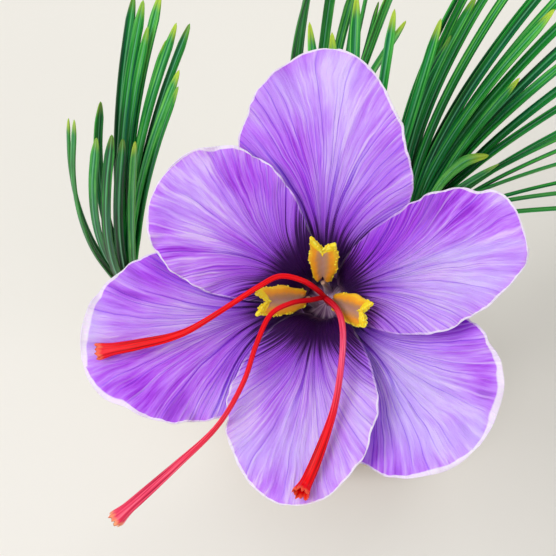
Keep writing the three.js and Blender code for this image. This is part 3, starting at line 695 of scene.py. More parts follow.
def antherShape(look):
    # two swollen lobes beside a flat band; each lobe is split along its edge, and both ends are notched
    out, seed = heading(math.radians(look['angle'])), look['seed']
    side = np.cross(up, out)
    head = out * stamen['headRadius'] + up * stamen['headHeight']
    away, height = look['tip']
    tip = out * away + up * height
    length = np.linalg.norm(tip - head) - 0.45
    axis = unit(tip - head)
    face = np.cross(axis, side)
    side, face = turned(side, face, look['spin'])

    def shape(across, along, row=None):
        turn = across * fullTurn
        x, y = np.cos(turn), np.sin(turn)
        wide = np.abs(x)
        shares = crowded(along)
        swell = mix(0.42, 1.02, arc(shares / 0.55)) - 0.14 * ease(shares, 0.6, 1)
        swell = swell + 0.04 * np.sin(shares * 17 + seed) * x
        ends = dome(np.minimum(shares / 0.11, (1 - shares) / 0.035))
        # the side away from the style is furrowed, the side towards it is smooth
        furrow = anther['furrow'] * hill(x, 0, anther['band']) * mix(0.75, 1, ease(-y, 0, 0.3))
        slit = anther['slit'] * hill(wide, 0.93, 0.05)
        bumpy = 0.02 * np.sin(shares * 38 + x * 9 + seed) + 0.015 * np.sin(shares * 71 - x * 13)
        deep = np.sign(y) * (np.abs(y) ** 0.8 * (anther['thick'] / 2 - slit + bumpy) - furrow * np.abs(y))
        deep = deep * mix(1, anther['lip'], ease(shares, 0.72, 0.97))
        hook = anther['horn'] * ease(shares, 0.7, 1) - anther['barb'] * ease(-shares, -0.3, 0)
        shift = hook * (np.clip(wide * ends, 0, 1) ** 0.85 - 0.6) * (1 + look['uneven'] * x)
        ragged = 0.22 * np.sin(x * 11 + seed) + 0.14 * np.sin(x * 23 + y * 3)
        shift = shift + ease(shares, 0.86, 0.96) * ragged
        curl = anther['curl'] * ease(shares, 0.75, 1) * wide  # the horns bend towards the style
        placed = head + axis * (shares * length * 0.95 + shift + 0.5)[:, None]
        placed = placed + side * (x * anther['width'] / 2 * swell * ends)[:, None]
        placed = placed + face * (deep * ends + curl)[:, None]
        dusty = np.where(x > 0, look['dusty'], 1 - look['dusty'])
        crust = ease(shares, 0.84, 0.92) + 0.8 * dusty * ease(wide, 0.92, 0.99) * ease(shares, 0.35, 0.75)
        return fromFlower(placed), {'acrossAnther': wide, 'pollenCrust': np.clip(crust, 0, 1)}

    return shape


def scattered(name, source, places, sizes):  # copies of one small shape, each with its own turn, in one mesh
    count = len(source.data.vertices)
    corners = np.empty(count * 3, np.float32)
    source.data.vertices.foreach_get('co', corners)
    corners = corners.reshape(-1, 3).astype(float)
    polygons = [list(p.vertices) for p in source.data.polygons]
    points, faces = [], []
    for number, (place, size) in enumerate(zip(places, sizes)):
        a, b = draw(number + 0.3) * 6.28, draw(number + 0.7) * 6.28  # about a full turn each
        spun = corners @ np.array([[math.cos(a), -math.sin(a), 0], [math.sin(a), math.cos(a), 0], [0, 0, 1]])
        spun = spun @ np.array([[1, 0, 0], [0, math.cos(b), -math.sin(b)], [0, math.sin(b), math.cos(b)]])
        points.append((place + spun * size) * mm)
        faces += [[corner + number * count for corner in polygon] for polygon in polygons]
    mesh = bpy.data.meshes.new(name)
    mesh.from_pydata(np.concatenate(points).tolist(), [], faces)
    piece = bpy.data.objects.new(name, mesh)
    bpy.context.scene.collection.objects.link(piece)
    bpy.data.objects.remove(source)
    return piece


def addStamen(name, look):
    out = heading(math.radians(look['angle']))
    foot = out * stamen['foot'] - up * stamen['sunk']
    head = out * stamen['headRadius'] + up * (stamen['headHeight'] + 0.35)
    line = fromFlower(smoothLine([foot, mix(foot, head, 0.5) + out * 0.15, head]))

    def radius(share, turn):
        thinned = mix(stamen['stalk'] * 1.25, stamen['waist'], ease(share, 0, 0.9))
        return thinned * (1 + 0.06 * np.cos(3 * turn + 5 * share))

    stalk = addTube('filament_stalk_' + name, line, radius, rows=36)
    settled(stalk, 'filament_skin', 'filament_' + name, filamentSkin)

    shape = antherShape(look)
    sac = addSheet('anther_lobes_' + name, anther['columns'], anther['rows'], shape)
    # grains sit along the split edges, thickest round the two horns of the tip
    number = np.arange(anther['grains'])
    tipward = 1 - draw(number + look['seed'] * 3.1) ** 2.5 * 0.85
    edge = np.where(draw(number + 0.21) < look['dusty'], 0.0, 0.5)
    edge = edge + (draw(number * 1.7 + look['seed']) - 0.5) * 0.17
    crowned = number % 5 < 3
    tipward = np.where(crowned, 0.9 + 0.1 * draw(number + 0.77), tipward)
    edge = np.where(crowned, draw(number + 0.13), edge) % 1
    bpy.ops.mesh.primitive_ico_sphere_add(subdivisions=1, radius=1)
    dust = scattered('pollen_' + name, bpy.context.active_object, shape(edge, tipward)[0],
                     anther['grain'] * mix(0.7, 1.35, draw(number + 0.9)))
    for piece in (sac, dust):
        piece.data.materials.append(antherSkin)
        piece.data.materials.append(pollenSkin)
    dust.data.polygons.foreach_set('material_index', np.ones(len(dust.data.polygons), np.int32))
    settled(joined('anther_lobes_' + name, [sac, dust]), 'pollen_sac', 'anther_' + name)


for name, look in stamens.items():
    addStamen(name, look)
print('stamens done')


# pistil: the style and three stigma branches

style = {'radius': 0.45, 'fork': (0.9, -0.6, 8), 'sunk': 9}
stigma = {
    'wide': 0.94, 'thick': 0.46, 'mouth': 1.3, 'lip': 0.13, 'hollow': 0.07, 'outside': 0.86,
    'sides': 48, 'rows': 130, 'evened': 12,
}
# pink: the share along where it is strongest, its spread and its strength; the pink is partly the branch's
# own tint and partly a painted pinkish-white sheen
stigmas = {
    'left': {'slim': 0.43, 'pink': (1, 0.1, 0.1), 'paleFringe': 0.4, 'mouthDeep': 0.5, 'points': [
        (0.2, 0.1, 11), (-2, 1.3, 14), (-5.2, 1.7, 15.6), (-8.5, -0.1, 16.4), (-19.7, -7, 16),
        (-27, -9, 15.9), (-33.6, -10.1, 15.9)]},
    'longest': {'slim': 0.4, 'pink': (0.85, 0.3, 0.8), 'paleFringe': 0.9, 'mouthDeep': 0.7, 'points': [
        (-0.8, -1.3, 10.5), (-3.5, -2.2, 13.8), (-6.4, -4.1, 15.5), (-8.4, -8.8, 16.8), (-10.2, -14.9, 17.9),
        (-13.6, -21.2, 18.4), (-20.5, -27.4, 15.6), (-31.6, -35.9, 8.8)]},
    'low': {'slim': 0.5, 'pink': (0.38, 0.2, 1), 'paleFringe': 0.25, 'mouthDeep': 1.15, 'points': [
        (3.2, -2.8, 11), (4.5, -6.1, 14.3), (4.6, -12, 16.2), (3.7, -19, 17.6), (1.6, -25.9, 18.6),
        (-0.2, -30.4, 19.2), (-0.8, -32, 20.4)]},
}

# stigma skin, grown: wet-looking scarlet with darker veins, a pink band that is partly a painted sheen, and a
# paler fringed mouth
stigmaSkin = grownSkin('Stigma_skin_grown_moist', {
    'place': 'UV', 'reads': ['alongPiece', 'pinkness', 'towardFringe', 'paleFringe'],
    'noises': [('veins', (16, 5, 1), 3), ('cells', (26, 40, 1), 2)],
    'sums': {'tone': ('veins',), 'fringe': ('towardFringe', ('cells', 0.6))},
    'ramp': [(0.3, '#A0000A'), (0.46, '#DC000C'), (0.58, '#F4000C'), (0.75, '#FF101C')],
    'layers': [('pinkness', 0, 1, 1, [(0.3, '#B02046'), (0.46, '#E23E66'), (0.6, '#F66C90'),
                                      (0.78, '#FFB2BA')], plain),
               ('alongPiece', 0.3, 0.02, 0.55, '#8E0A1E', soft),
               ('fringe', 1.02, 1.35, 'paleFringe', '#FFB078', plain)],
    'bumps': [('veins', 0.5, 0.15), ('cells', 0.3, 0.05)],
    'skin': {'Roughness': 0.38, 'IOR': 1.42, 'Specular IOR Level': 0.2, 'Subsurface Weight': 0.2,
             'Subsurface Radius': (1, 0.2, 0.2), 'Subsurface Scale': 0.5 * mm}})


def stigmaShape(look, number):
    # the branch flattens and widens to a toothed mouth; its skin turns in at the lip and ends inside
    fork = np.array(style['fork'], float)
    line = smoothLine([fork - up, fork, *look['points']])
    even = np.arange(stigma['rows'] + 1) / stigma['rows']
    outside = stigma['outside']
    shares = np.where(even < outside, even / outside, 1 - stigma['hollow'] * (even - outside) / (1 - outside))
    shares = np.clip(shares, 0, 1)
    directions = directionsOn(line, shares)
    sides = np.cross(up, directions)
    steep = np.linalg.norm(sides, axis=1)[:, None] < 0.22
    sides = unit(np.where(steep, np.cross([1.0, 0, 0], directions), sides))
    for _ in range(stigma['evened']):  # the turn from upright to lying is spread along the line
        sides[1:-1] = unit(sides[:-2] + 2 * sides[1:-1] + sides[2:])
    frames = pointsOn(line, shares), directions, sides, np.cross(directions, sides)

    def shape(across, along, row):
        share, turn = shares[row], across * fullTurn
        opening, end = ease(share, 0.9, 1), ease(share, 0.965, 1)
        broad = mix(look['slim'], stigma['wide'], ease(share, 0.52, 0.98))
        broad = mix(broad, stigma['mouth'], opening ** 2)
        deep = mix(mix(look['slim'], stigma['thick'], share), look['mouthDeep'], opening ** 2)
        fluted = 1 + 0.06 * ease(share, 0.5, 0.9) * np.cos(9 * turn + 3 * share + number)
        fluted = fluted + 0.16 * opening * np.cos(5 * turn + number)
        wall = (along > outside) * (stigma['lip'] + 0.12 * (1 - share) / stigma['hollow'])
        pole = (along > 0) & (along < 1)
        x = np.cos(turn) * np.maximum(broad * fluted - wall, 0.05) * pole
        y = np.sin(turn) * np.maximum(deep * fluted - wall * 0.8, 0.04) * pole
        y = y + 0.12 * np.sin(share * 23 + number) * np.sin(math.pi * share)
        teeth = 0.5 * np.abs(np.sin(turn * 5.5 + number)) + 0.35 * draw(np.rint(across * 24) + number * 31)
        placed = beside(frames, row, x, y) + directions[row] * ((teeth - 0.45) * end)[:, None]
        place, spread, strength = look['pink']
        return fromFlower(placed), {
            'alongPiece': share, 'pinkness': strength * hill(share, place, spread),
            'paleFringe': look['paleFringe'], 'towardFringe': ease(share, 0.93, 1)}

    return shape


def addPistil():
    foot, fork = up * -style['sunk'], np.array(style['fork'])
    parts = [addTube('style_stalk', fromFlower(smoothLine([foot, mix(foot, fork, 0.5), fork])),
                     lambda t, a: style['radius'], rows=24, pinkness=0, towardFringe=0, paleFringe=0)]
    for number, look in enumerate(stigmas.values()):
        parts.append(addSheet('branch', stigma['sides'], stigma['rows'], stigmaShape(look, number + 1)))
    settled(joined('stigma_branches', parts), 'stigma_skin', 'pistil', stigmaSkin)


addPistil()
print('pistil done')


# stem, bract and shoots

stemLook = {
    'radius': 1.5, 'rim': 4.62, 'flare': 13, 'leaves': (0.8, -4, 21), 'straight': 22, 'ribs': 6, 'into': 0.5,
    'outside': 0.8, 'hollow': 2.6, 'wall': 0.5, 'sides': 48, 'rows': 190,
}
bract = {'radius': 2.6, 'wall': 0.28, 'along': (0.47, 0.72), 'tip': 3.4, 'bore': 1.62}
sheathLook = {
    'wall': 0.5, 'taper': 0.92, 'lip': 0.8, 'tongue': 2.4, 'slit': 2.6, 'inner': 0.25, 'innerFrom': 12,
    'innerRise': 2.4,
}
leafLook = {
    'width': 1.8, 'thick': 0.9, 'sink': 5, 'inset': 0.55, 'wall': 0.9, 'gap': 0.3, 'clear': 3.7,
    'splay': 0.2, 'knee': 0.4, 'neck': 0.65, 'point': 5.5, 'columns': 20, 'rows': 40, 'inner': 0.5,
}
# a leaf is given by where its tip lies from the shoot's mouth: azimuth, distance outwards and height; fan
# spreads the leaf roots round the shoot, and the leaves between root further in
shoots = {
    'middle': {
        'foot': (0, 0, 23.3), 'radius': 5.4, 'fan': 1, 'along': (0, 0.46), 'seed': 1,
        'leaves': [(108, 22, 62), (88, 25, 64), (60, 30, 56), (152, 25, 33), (220, 25, 24), (320, 27, 28)],
        'between': [(98, 22, 58), (74, 26, 60), (135, 20, 40), (300, 20, 22)]},
    'left': {
        'foot': (-10.4, 1.2, 21.4), 'rise': (-22, 0, 5), 'mouth': (-38, 1, 46), 'radius': 4.4, 'fan': 1,
        'seed': 2,
        'leaves': [(176, 8, 54), (200, 7, 58), (262, 4, 56), (318, 4, 52), (22, 11, 58),
                   (80, 17, 66), (62, 16, 70), (66, 13, 64), (54, 14, 61), (40, 16, 67)],
        'between': [(120, 6, 52), (232, 5, 55), (290, 3, 53), (72, 15, 68), (48, 15, 66), (30, 12, 60)]},
    'right': {
        'foot': (10.4, 4.2, 21.6), 'rise': (2.4, 1, 9), 'mouth': (12, 8, 46), 'radius': 4.6, 'fan': 2.6,
        'seed': 3,
        'leaves': [(62, 20, 65), (50, 27, 68), (64, 13, 52), (41, 37, 62), (22, 19, 46), (34, 38, 64),
                   (26, 41, 58), (17, 38, 52), (8, 40, 45), (-20, 15, 38), (-5, 37, 49), (-15, 36, 43),
                   (-22, 33, 36)],
        'between': [(58, 22, 67), (46, 31, 66), (38, 35, 65), (30, 40, 61), (22, 39, 55), (13, 39, 49),
                    (2, 38, 47), (-10, 36, 46), (56, 17, 60), (34, 28, 54), (20, 28, 49), (-18, 34, 39),
                    (10, 13.6, 29, {'knee': 0.9, 'broad': 1.6, 'shade': 1.4})]},
    'rear': {
        'foot': (-3.6, 10.4, 21.6), 'rise': (-0.6, 2.2, 8), 'mouth': (-5, 17, 43), 'radius': 4, 'fan': 2.4,
        'seed': 4,
        'leaves': [(96, 6, 68), (84, 9, 76), (44, 10, 73), (18, 14, 69), (62, 14, 56), (30, 12, 60)],
        'between': [(90, 8, 71), (66, 9, 74), (34, 11, 71), (24, 13, 64), (8, 15, 60)]},
}

stemFoot = np.array(shoots['middle']['foot']) + up
stemEnd = throat - flowerAxis * stemLook['flare']
stemLine = bezier([stemFoot, stemFoot + np.array(stemLook['leaves']),
                   stemEnd - flowerAxis * stemLook['straight'], stemEnd], 200)


def alongStem(start, end):  # the stretch of the stem between two shares of its curve
    shares = [mix(start, end, t) for t in (0, 0.25, 0.5, 0.75, 1)]
    return smoothLine([stemLine[int(round(share * (len(stemLine) - 1)))] for share in shares])


def shootLine(look):
    if 'along' in look:  # the middle shoot wraps the flower's stem
        return alongStem(*look['along'])
    foot = np.array(look['foot'], float)
    return bezier([foot, foot + np.array(look['rise']), look['mouth']])


# flower tube, grown: thin smooth skin, white below and flushed violet where it widens; the throat's pale rays
# run out into the dark of the petals' claws
tubeSkin = grownSkin('Flower_tube_grown_smooth', {
    'place': 'UV', 'reads': ['alongPiece', 'throatInside', 'throatOutward'],
    'noises': [('veins', (24, 5, 1), 3)],
    'sums': {'tone': ('alongPiece', ('veins', 0.22)), 'frayed': ('throatOutward', ('veins', -2.2))},
    'ramp': [(0.1, '#EFEBDD'), (0.5, '#E2D8E6'), (0.8, '#BFA3DE'), (0.94, '#9E74D0'), (1, '#9264CC')],
    'layers': [('throatInside', 0, 1, 1, [(0.36, '#7E3E88'), (0.5, '#BE90C0'), (0.62, '#EACEE6')], plain),
               ('frayed', 0.9, 2, 0.92, '#380A52', soft)],
    'bumps': [('veins', 0.3, 0.1)],
    'skin': {'Roughness': 0.45, 'Subsurface Weight': 0.25, 'Subsurface Radius': (1, 0.8, 0.8),
             'Subsurface Scale': 0.8 * mm}})


def addStem():
    # the tube widens to an open throat: its wall turns over at the rim and runs down inside
    tip = throat + flowerAxis * stemLook['into']
    line = np.concatenate([stemLine, [mix(stemEnd, tip, t) for t in np.linspace(0, 1, 30)[1:]]])
    whole = lengthOf(line)
    starts = 1 - (stemLook['flare'] + stemLook['into']) / whole
    even, outside = np.linspace(0, 1, stemLook['rows'] + 1), stemLook['outside']
    inward = stemLook['hollow'] / whole * (even - outside) / (1 - outside)
    shares = np.where(even < outside, even / outside, 1 - inward)
    frames = framesOn(line, shares, flowerAcross)

    def shape(across, along, row):
        turn, share = across * fullTurn, shares[row]
        opened = np.clip((share - starts) / (1 - starts), 0, 1)
        ribbed = 1 + mix(0.035, 0.05, opened) * np.cos(stemLook['ribs'] * turn)
        ribbed = ribbed + 0.02 * np.cos(13 * turn + 9 * share)
        reach = mix(stemLook['radius'] * 0.97, stemLook['rim'], opened ** 1.8) * ribbed
        reach = reach - (along > outside) * stemLook['wall'] * ease(along, outside, outside + 0.02)
        reach = reach * dome((1 - along) / 0.07) * (along > 0)  # closed at the foot, and by a floor inside
        lining = ease(along, outside, outside + 0.03)
        return ringed(frames, row, turn, reach), {
            'alongPiece': share, 'throatInside': lining, 'throatOutward': reach * lining}

    tube = addSheet('flower_tube', stemLook['sides'], stemLook['rows'], shape)
    settled(tube, 'tube_wall', 'perianth_tube', tubeSkin)


# thin dry sheath and bract skin, grown: papery, with parallel veins
papery = {
    'place': 'UV', 'reads': ['alongPiece'], 'noises': [('streak', (46, 4, 1), 3), ('cloud', (4, 3, 1), 4)],
    'sums': {'tone': (0, ('alongPiece', 2 / 3), ('streak', 0.2), ('cloud', 0.2))},
    'bumps': [('streak', 0.6, 0.15)],
    'skin': {'Roughness': 0.5, 'Subsurface Weight': 0.3, 'Subsurface Radius': (1, 0.9, 0.7),
             'Subsurface Scale': 0.8 * mm},
}
sheathSkin = grownSkin('Sheath_skin_grown_papery', {**papery, 'ramp': [
    (0.18, '#A87C4C'), (0.3, '#D8C096'), (0.45, '#EEE6CE'), (0.62, '#EFEDDC'), (0.8, '#DDE0BE'),
    (0.95, '#BFC98E')]})
bractSkin = grownSkin('Bract_skin_grown_papery', {**papery, 'ramp': [
    (0.15, '#E9E8D2'), (0.5, '#E2E5D0'), (0.8, '#EEEAE0'), (0.95, '#DCCBAE')]})


def addBract():
    def radius(share, turn):
        swell = mix(bract['bore'] + bract['wall'], bract['radius'], np.sin(share * math.pi * 0.7))
        return swell * (1 + 0.05 * np.cos(turn * 2 + 2 * share) + 0.02 * np.cos(turn * 9 + 4 * share) * share)

    def lip(turn):
        return bract['tip'] * np.cos(turn) + waves(turn, (0.35, 5, 0), (0.15, 13, 0))

    sleeve = addSleeve('papery_bract', alongStem(*bract['along']), radius, lip, bract['wall'])
    settled(sleeve, 'bract_skin', 'spathe', bractSkin)


def apart(turn, at):  # how far one turn round the shoot is from another
    return 2 * np.sin((turn - at) / 2)


def addSheath(name, look):
    line, seed = shootLine(look), look['seed']

    def radius(share, turn):
        folded = 1 + 0.02 * np.cos(turn * 3 + seed + 2 * share) + 0.008 * np.cos(turn * 11 + 5 * share)
        folded = folded + 0.006 * np.cos(turn * 23 + seed)
        folded = folded + 0.004 * np.sin(share * 90 + 2 * np.sin(turn * 2 + seed))
        foot = 1 - 0.06 * (1 - ease(share, 0, 0.12))
        torn = 0.3 * ease(share, 0.86, 1) * np.sin(turn * 3 + seed * 2)
        return look['radius'] * mix(1, sheathLook['taper'], share) * folded * foot + torn

    def lip(turn):
        tongue = sheathLook['tongue'] * hill(apart(turn, seed * 1.9), 0, 0.55)
        slit = sheathLook['slit'] * hill(apart(turn, seed * 1.9 + 2.4), 0, 0.22)
        tear = waves(turn, (0.5, 4, seed), (0.3, 9, 1), (0.2, 17, 0))
        return sheathLook['lip'] * (1 + np.cos(turn - 1.2)) + tear + tongue - slit

    # the inner skin rises out of the outer one and hugs the leaves
    hidden = pointsOn(line, 1 - sheathLook['innerFrom'] * np.linspace(1, 0, 6) / lengthOf(line))
    innerLine = smoothLine([*hidden, line[-1] + unit(line[-1] - line[-3]) * sheathLook['innerRise']])
    mouth = look['radius'] * sheathLook['taper']

    def innerRadius(share, turn):
        hug = mix(mouth - sheathLook['wall'] - 0.15, mouth - 1.0, ease(share, 0.3, 0.8))
        return hug * (1 + 0.02 * np.cos(turn * 4 + seed) + 0.01 * np.cos(turn * 13 + 3 * share))

    def innerLip(turn):
        tongue = 1.9 * hill(apart(turn, seed * 2.7 + 1), 0, 0.8)
        return tongue - 0.5 + waves(turn, (0.15, 7, seed), (0.1, 19, 0))

    outer = addSleeve('outer_skin', line, radius, lip, sheathLook['wall'], sides=90)
    inner = addSleeve('inner_skin', innerLine, innerRadius, innerLip, sheathLook['inner'], rows=30)
    settled(joined('shoot_sheath_' + name, [outer, inner]), 'sheath_skin', 'sheath_' + name, sheathSkin)


# leaf blade, grown: deep green and waxy, streaked with a painted teal sheen and darker towards its foot as
# painted shade; its layers are the painted sheen, the pale channel, the margins, the yellow-green tip and the
# foot
leafSkin = grownSkin('Leaf_blade_grown_waxy', {
    'place': 'reads', 'reads': ['acrossLeaf', 'alongPiece', 'leafShade', 'toTip', 'fromChannel'],
    # sunk lowers the tone towards each leaf's foot: painted shade of the crowded tuft
    'ranges': {'sunk': ('alongPiece', 0.3, 0.95, -0.46, -0.24), 'ripe': ('leafShade', 0.3, 0.8, 0.25, 0.9)},
    # tealSheen lays a painted teal sheen over the green in soft streaks
    'noises': [('ribs', (3.2, 1.5, 60), 2), ('cloud', (1, 9, 60), 2), ('tealSheen', (2.4, 2.5, 35), 1)],
    'sums': {'tone': ('sunk', ('ribs', 1.1), ('cloud', 0.35), ('leafShade', 0.3))},
    'ramp': [(0.22, '#002C16'), (0.38, '#004E20'), (0.52, '#007222'), (0.66, '#189A30'), (0.85, '#74D05C')],
    'layers': [('tealSheen', 0.5, 0.72, 0.6, '#0A7656', plain),
               ('fromChannel', 0.18, 0.06, 0.6, '#74C898', soft),
               ('fromChannel', 0.84, 0.99, 0.45, '#48AC44', soft),
               ('toTip', 4.5, 0.8, 'ripe', '#C4DC3E', soft),
               ('alongPiece', 0.2, 0.05, 0.8, '#D6DC9A', soft)],
    'bumps': [('ribs', 0.4, 0.1)],
    'skin': {'Roughness': 0.4, 'IOR': 1.45, 'Specular IOR Level': 0.3, 'Coat Weight': 0.05,
             'Coat Roughness': 0.3}})


def coreRadius(look):  # of the joined leaf bases inside a sheath
    return look['radius'] * sheathLook['taper'] - leafLook['wall'] - leafLook['gap']


def leafLine(look, path, leaf, middle, inward, knee):
    azimuth, reach, height = leaf[:3]
    mouth, axis = path[-1], unit(path[-1] - path[-3])
    outward = heading(math.radians(middle + ((azimuth - middle + 540) % 360 - 180) * look['fan']))
    outward = unit(outward - axis * outward.dot(axis))
    offset = (coreRadius(look) - leafLook['inset']) * inward
    root = pointsOn(path, [1 - leafLook['sink'] / lengthOf(path)])[0] + outward * offset
    clear = mouth + outward * offset + axis * leafLook['clear']
    tip = mouth + heading(math.radians(azimuth)) * reach + up * height
    climb = unit(mix(axis, up, 0.5) + outward * leafLook['splay'])
    bow = bezier([clear, clear + climb * height * knee, tip], 5)
    return smoothLine([root, *bow]), np.cross(unit(bow[0] - root), outward)


# half of a leaf's outline across, from the channel over the shoulder to the keel below
leafOutline = np.array([(0, 0.06), (0.1, 0.1), (0.26, 0.42), (0.55, 0.62), (0.82, 0.52), (0.97, 0.12),
                        (0.95, -0.22), (0.75, -0.16), (0.42, -0.3), (0.2, -0.72), (0, -0.85)])
leafRing = np.concatenate([leafOutline, leafOutline[-2:0:-1] * [-1, 1]])


def addLeaf(line, side, seed, broad, shade):
    length, rows, columns = lengthOf(line), leafLook['rows'], leafLook['columns']
    shares = 1 - (1 - np.arange(rows + 1) / rows) ** 1.25
    points, directions, sides, faces = framesOn(line, shares, side)
    twist = (0.5 * (draw(seed) - 0.5) * shares**2)[:, None]
    frames = (points, directions, *turned(sides, faces, twist))

    def shape(across, along, row):
        x, y = leafRing[np.rint(across * columns).astype(int) % columns].T
        share = shares[row]
        toTip = (1 - share) * length
        taper = np.clip(toTip / leafLook['point'], 0, 1) ** 0.5 * (share < 1) * (along > 0)
        half = leafLook['width'] / 2 * broad * mix(leafLook['neck'], 1, ease(share, 0, 0.35)) * taper
        deep = leafLook['thick'] / 2 * np.minimum(1, taper * 1.2)
        return beside(frames, row, x * half, y * deep), {
            'acrossLeaf': x, 'fromChannel': np.abs(x), 'alongPiece': share, 'toTip': toTip,
            'leafShade': shade}

    return addSheet('leaf', columns, rows, shape)


def addTuft(name, look):
    path = shootLine(look)
    middle = sum(leaf[0] for leaf in look['leaves']) / len(look['leaves'])
    parts = []
    for number, leaf in enumerate(look['leaves'] + look['between']):
        inward = 1 if number < len(look['leaves']) else leafLook['inner']
        seed = look['seed'] * 10 + number
        habit = {'knee': leafLook['knee'], 'broad': mix(0.92, 1.05, draw(seed + 0.4)),
                 'shade': draw(seed + 0.8)}
        habit.update(*leaf[3:])
        line, side = leafLine(look, path, leaf, middle, inward, habit['knee'])
        parts.append(addLeaf(line, side, seed, habit['broad'], habit['shade']))
    # the joined leaf bases fill the sheath
    parts.append(addTube('core', path, lambda t, a: coreRadius(look) * mix(1.05, 1, t), sides=40,
                         alongPiece=0.08, acrossLeaf=0.5, fromChannel=0.5, leafShade=0.5, toTip=60))
    settled(joined('leaf_tuft_' + name, parts), 'leaf_blade', 'leaves_' + name, leafSkin)


addStem()
addBract()
for name, look in shoots.items():
    addSheath(name, look)
    addTuft(name, look)
print('stem, bract and shoots done')


# corm and roots

cormLook = {
    'radius': 18, 'bottom': 2.3, 'widest': 13, 'top': 27, 'foot': 8.6, 'collar': 6.6, 'collarTop': 30,
    'swirl': 0.1, 'columns': 300, 'rows': 120, 'fibres': 92, 'relief': 0.26, 'hole': 12, 'clear': 0.4,
    'strands': 150, 'last': 55,
}
collar = {'from': 1.5, 'to': 8, 'reach': (8, 14), 'stand': 0.12, 'wall': 0.14, 'fibres': 26}
# loose fibres by where they lie: first row, how far it varies, points, lift at the start and end, and rise
fibreKinds = ((34, 10, 14, 0.35, 0.9, 2.6), (14, 20, 12, 0.3, 0.5, 0.2), (40, 8, 12, 0.3, 0.7, 1.2))
rootLook = {'plate': 8.5, 'count': 16, 'radius': 0.55, 'front': 16, 'back': 25, 'start': 6, 'thin': 18}
plateOutline = np.array([(0, 0), (4, 0), (7, 0), (8.1, 0), (8.5, 0.4), (8.6, 1.1), (8.4, 1.7), (7.8, 2.1),
                         (5, 2.25), (0, 2.25)])

# corm tunic, grown: dry matted fibres, tan over a darker brown
tunicSkin = grownSkin('Corm_tunic_dry_fibres', {
    'place': 'UV', 'reads': ['fibreRidge'], 'coarse': 0.6,
    'noises': [('fibres', (190, 7, 1), 3), ('cloud', (9, 4, 1), 4), ('stubs', (90, 22, 1), 2)],
    'sums': {'tone': (-0.1, ('fibreRidge', 0.22), ('fibres', 0.7), ('cloud', 0.35), ('stubs', 0.2))},
    'ramp': [(0.25, '#3F2413'), (0.45, '#7A4C28'), (0.62, '#A8794A'), (0.8, '#CBA878'), (0.95, '#E2CBA2')],
    'bumps': [('fibres', 0.9, 0.25)], 'skin': {'Roughness': 0.82, 'Sheen Weight': 0.1}})
# root skin, grown: waxy cream, browner with age
rootSkin = grownSkin('Root_skin_grown_waxy', {
    'place': 'Object', 'noises': [('grain', every(0.3), 3), ('cloud', every(3), 4)],
    'sums': {'tone': (0, ('grain', 0.4), ('cloud', 1))}, 'bumps': [('grain', 0.5, 0.1)],
    'ramp': [(0.45, '#A98457'), (0.6, '#D9C498'), (0.75, '#EBDEBD'), (0.95, '#F3EBD6')],
    'skin': {'Roughness': 0.6, 'Subsurface Weight': 0.2, 'Subsurface Scale': 0.6 * mm}})


def cormOutline(count):  # radius and height from the pole below to the pole above, evenly spaced
    under = np.linspace(0, math.pi / 2, 30)
    over, top = under[1:], cormLook['collarTop']
    widest, girth, mouth = cormLook['widest'], cormLook['radius'], cormLook['collar']
    radius = [0, 4, *mix(cormLook['foot'], girth, np.sin(under)),
              *mix(mouth + 0.6, girth, np.cos(over) ** 1.3), mouth, 3, 0]
    height = [2.6, 2.4, *mix(widest, cormLook['bottom'], np.cos(under) ** 0.9),
              *mix(widest, cormLook['top'], np.sin(over)), top - 0.6, top - 0.8, top - 0.8]
    return pointsOn(np.stack([radius, height, np.zeros(len(radius))], 1), np.linspace(0, 1, count))


def unevenRadius(angle):
    return 1 + 0.02 * np.cos(2 * angle + 0.7) + 0.012 * np.cos(3 * angle + 2)


def cormShape(across, along, row):
    radius, height, _ = cormOutline(cormLook['rows'] + 1)[row].T
    angle = across * fullTurn
    meander = 0.05 * np.sin(height * 0.35 + 3 * np.sin(angle * 2))
    meander = meander + 0.03 * np.sin(height * 0.9 + 5 * np.sin(angle * 3))
    strand = (angle + meander) / fullTurn * cormLook['fibres']
    thick = 0.4 + 0.9 * draw(np.rint(strand) % cormLook['fibres'] + 3)
    ridge = np.cos((strand - np.rint(strand)) * math.pi) ** 2 * thick
    ridge = ridge + 0.175 * np.sin(strand * 4 * math.pi + height)
    lumps = 0.25 * np.sin(angle * 5 + height * 0.3) * np.sin(height * 0.25)
    reach = radius * unevenRadius(angle) + (cormLook['relief'] * (ridge - 0.5) + lumps) * ease(radius, 0, 8)
    swirled = angle + cormLook['swirl'] * height / cormLook['top']
    return np.stack([np.cos(swirled) * reach, np.sin(swirled) * reach, height], 1), {'fibreRidge': ridge}


def strandLine(number):
    # a loose fibre: a few lie on the coat, most stand up as a ragged collar or lie torn beside a shoot
    outline = cormOutline(60)
    last = cormLook['last']  # past this row of the coat a fibre stands free
    angle = draw(number + 0.1) * fullTurn
    first, varied, count, low, high, climb = fibreKinds[number % 3]
    begin = first + int(draw(number + 0.2) * varied)
    line = []
    for k in range(count):
        t = k / (count - 1)
        radius, height, _ = outline[min(begin + k, last)]
        reach = radius * unevenRadius(angle) + low + high * t**2 * draw(number + 0.3)
        bearing = angle + cormLook['swirl'] * height / cormLook['top'] + (draw(number + 0.4) - 0.5) * 0.25 * t
        risen = climb * t**2 * draw(number + 0.5) + max(begin + k - last, 0) * 0.45
        line.append(heading(bearing) * reach + up * (height + risen))
    return smoothLine(line, 2)


def addStrand(line, thick, thinned, ridge):
    def radius(share, turn):
        return thick * mix(1, thinned, share)

    return addTube('strand', line, radius, sides=5, rows=12, fibreRidge=ridge)


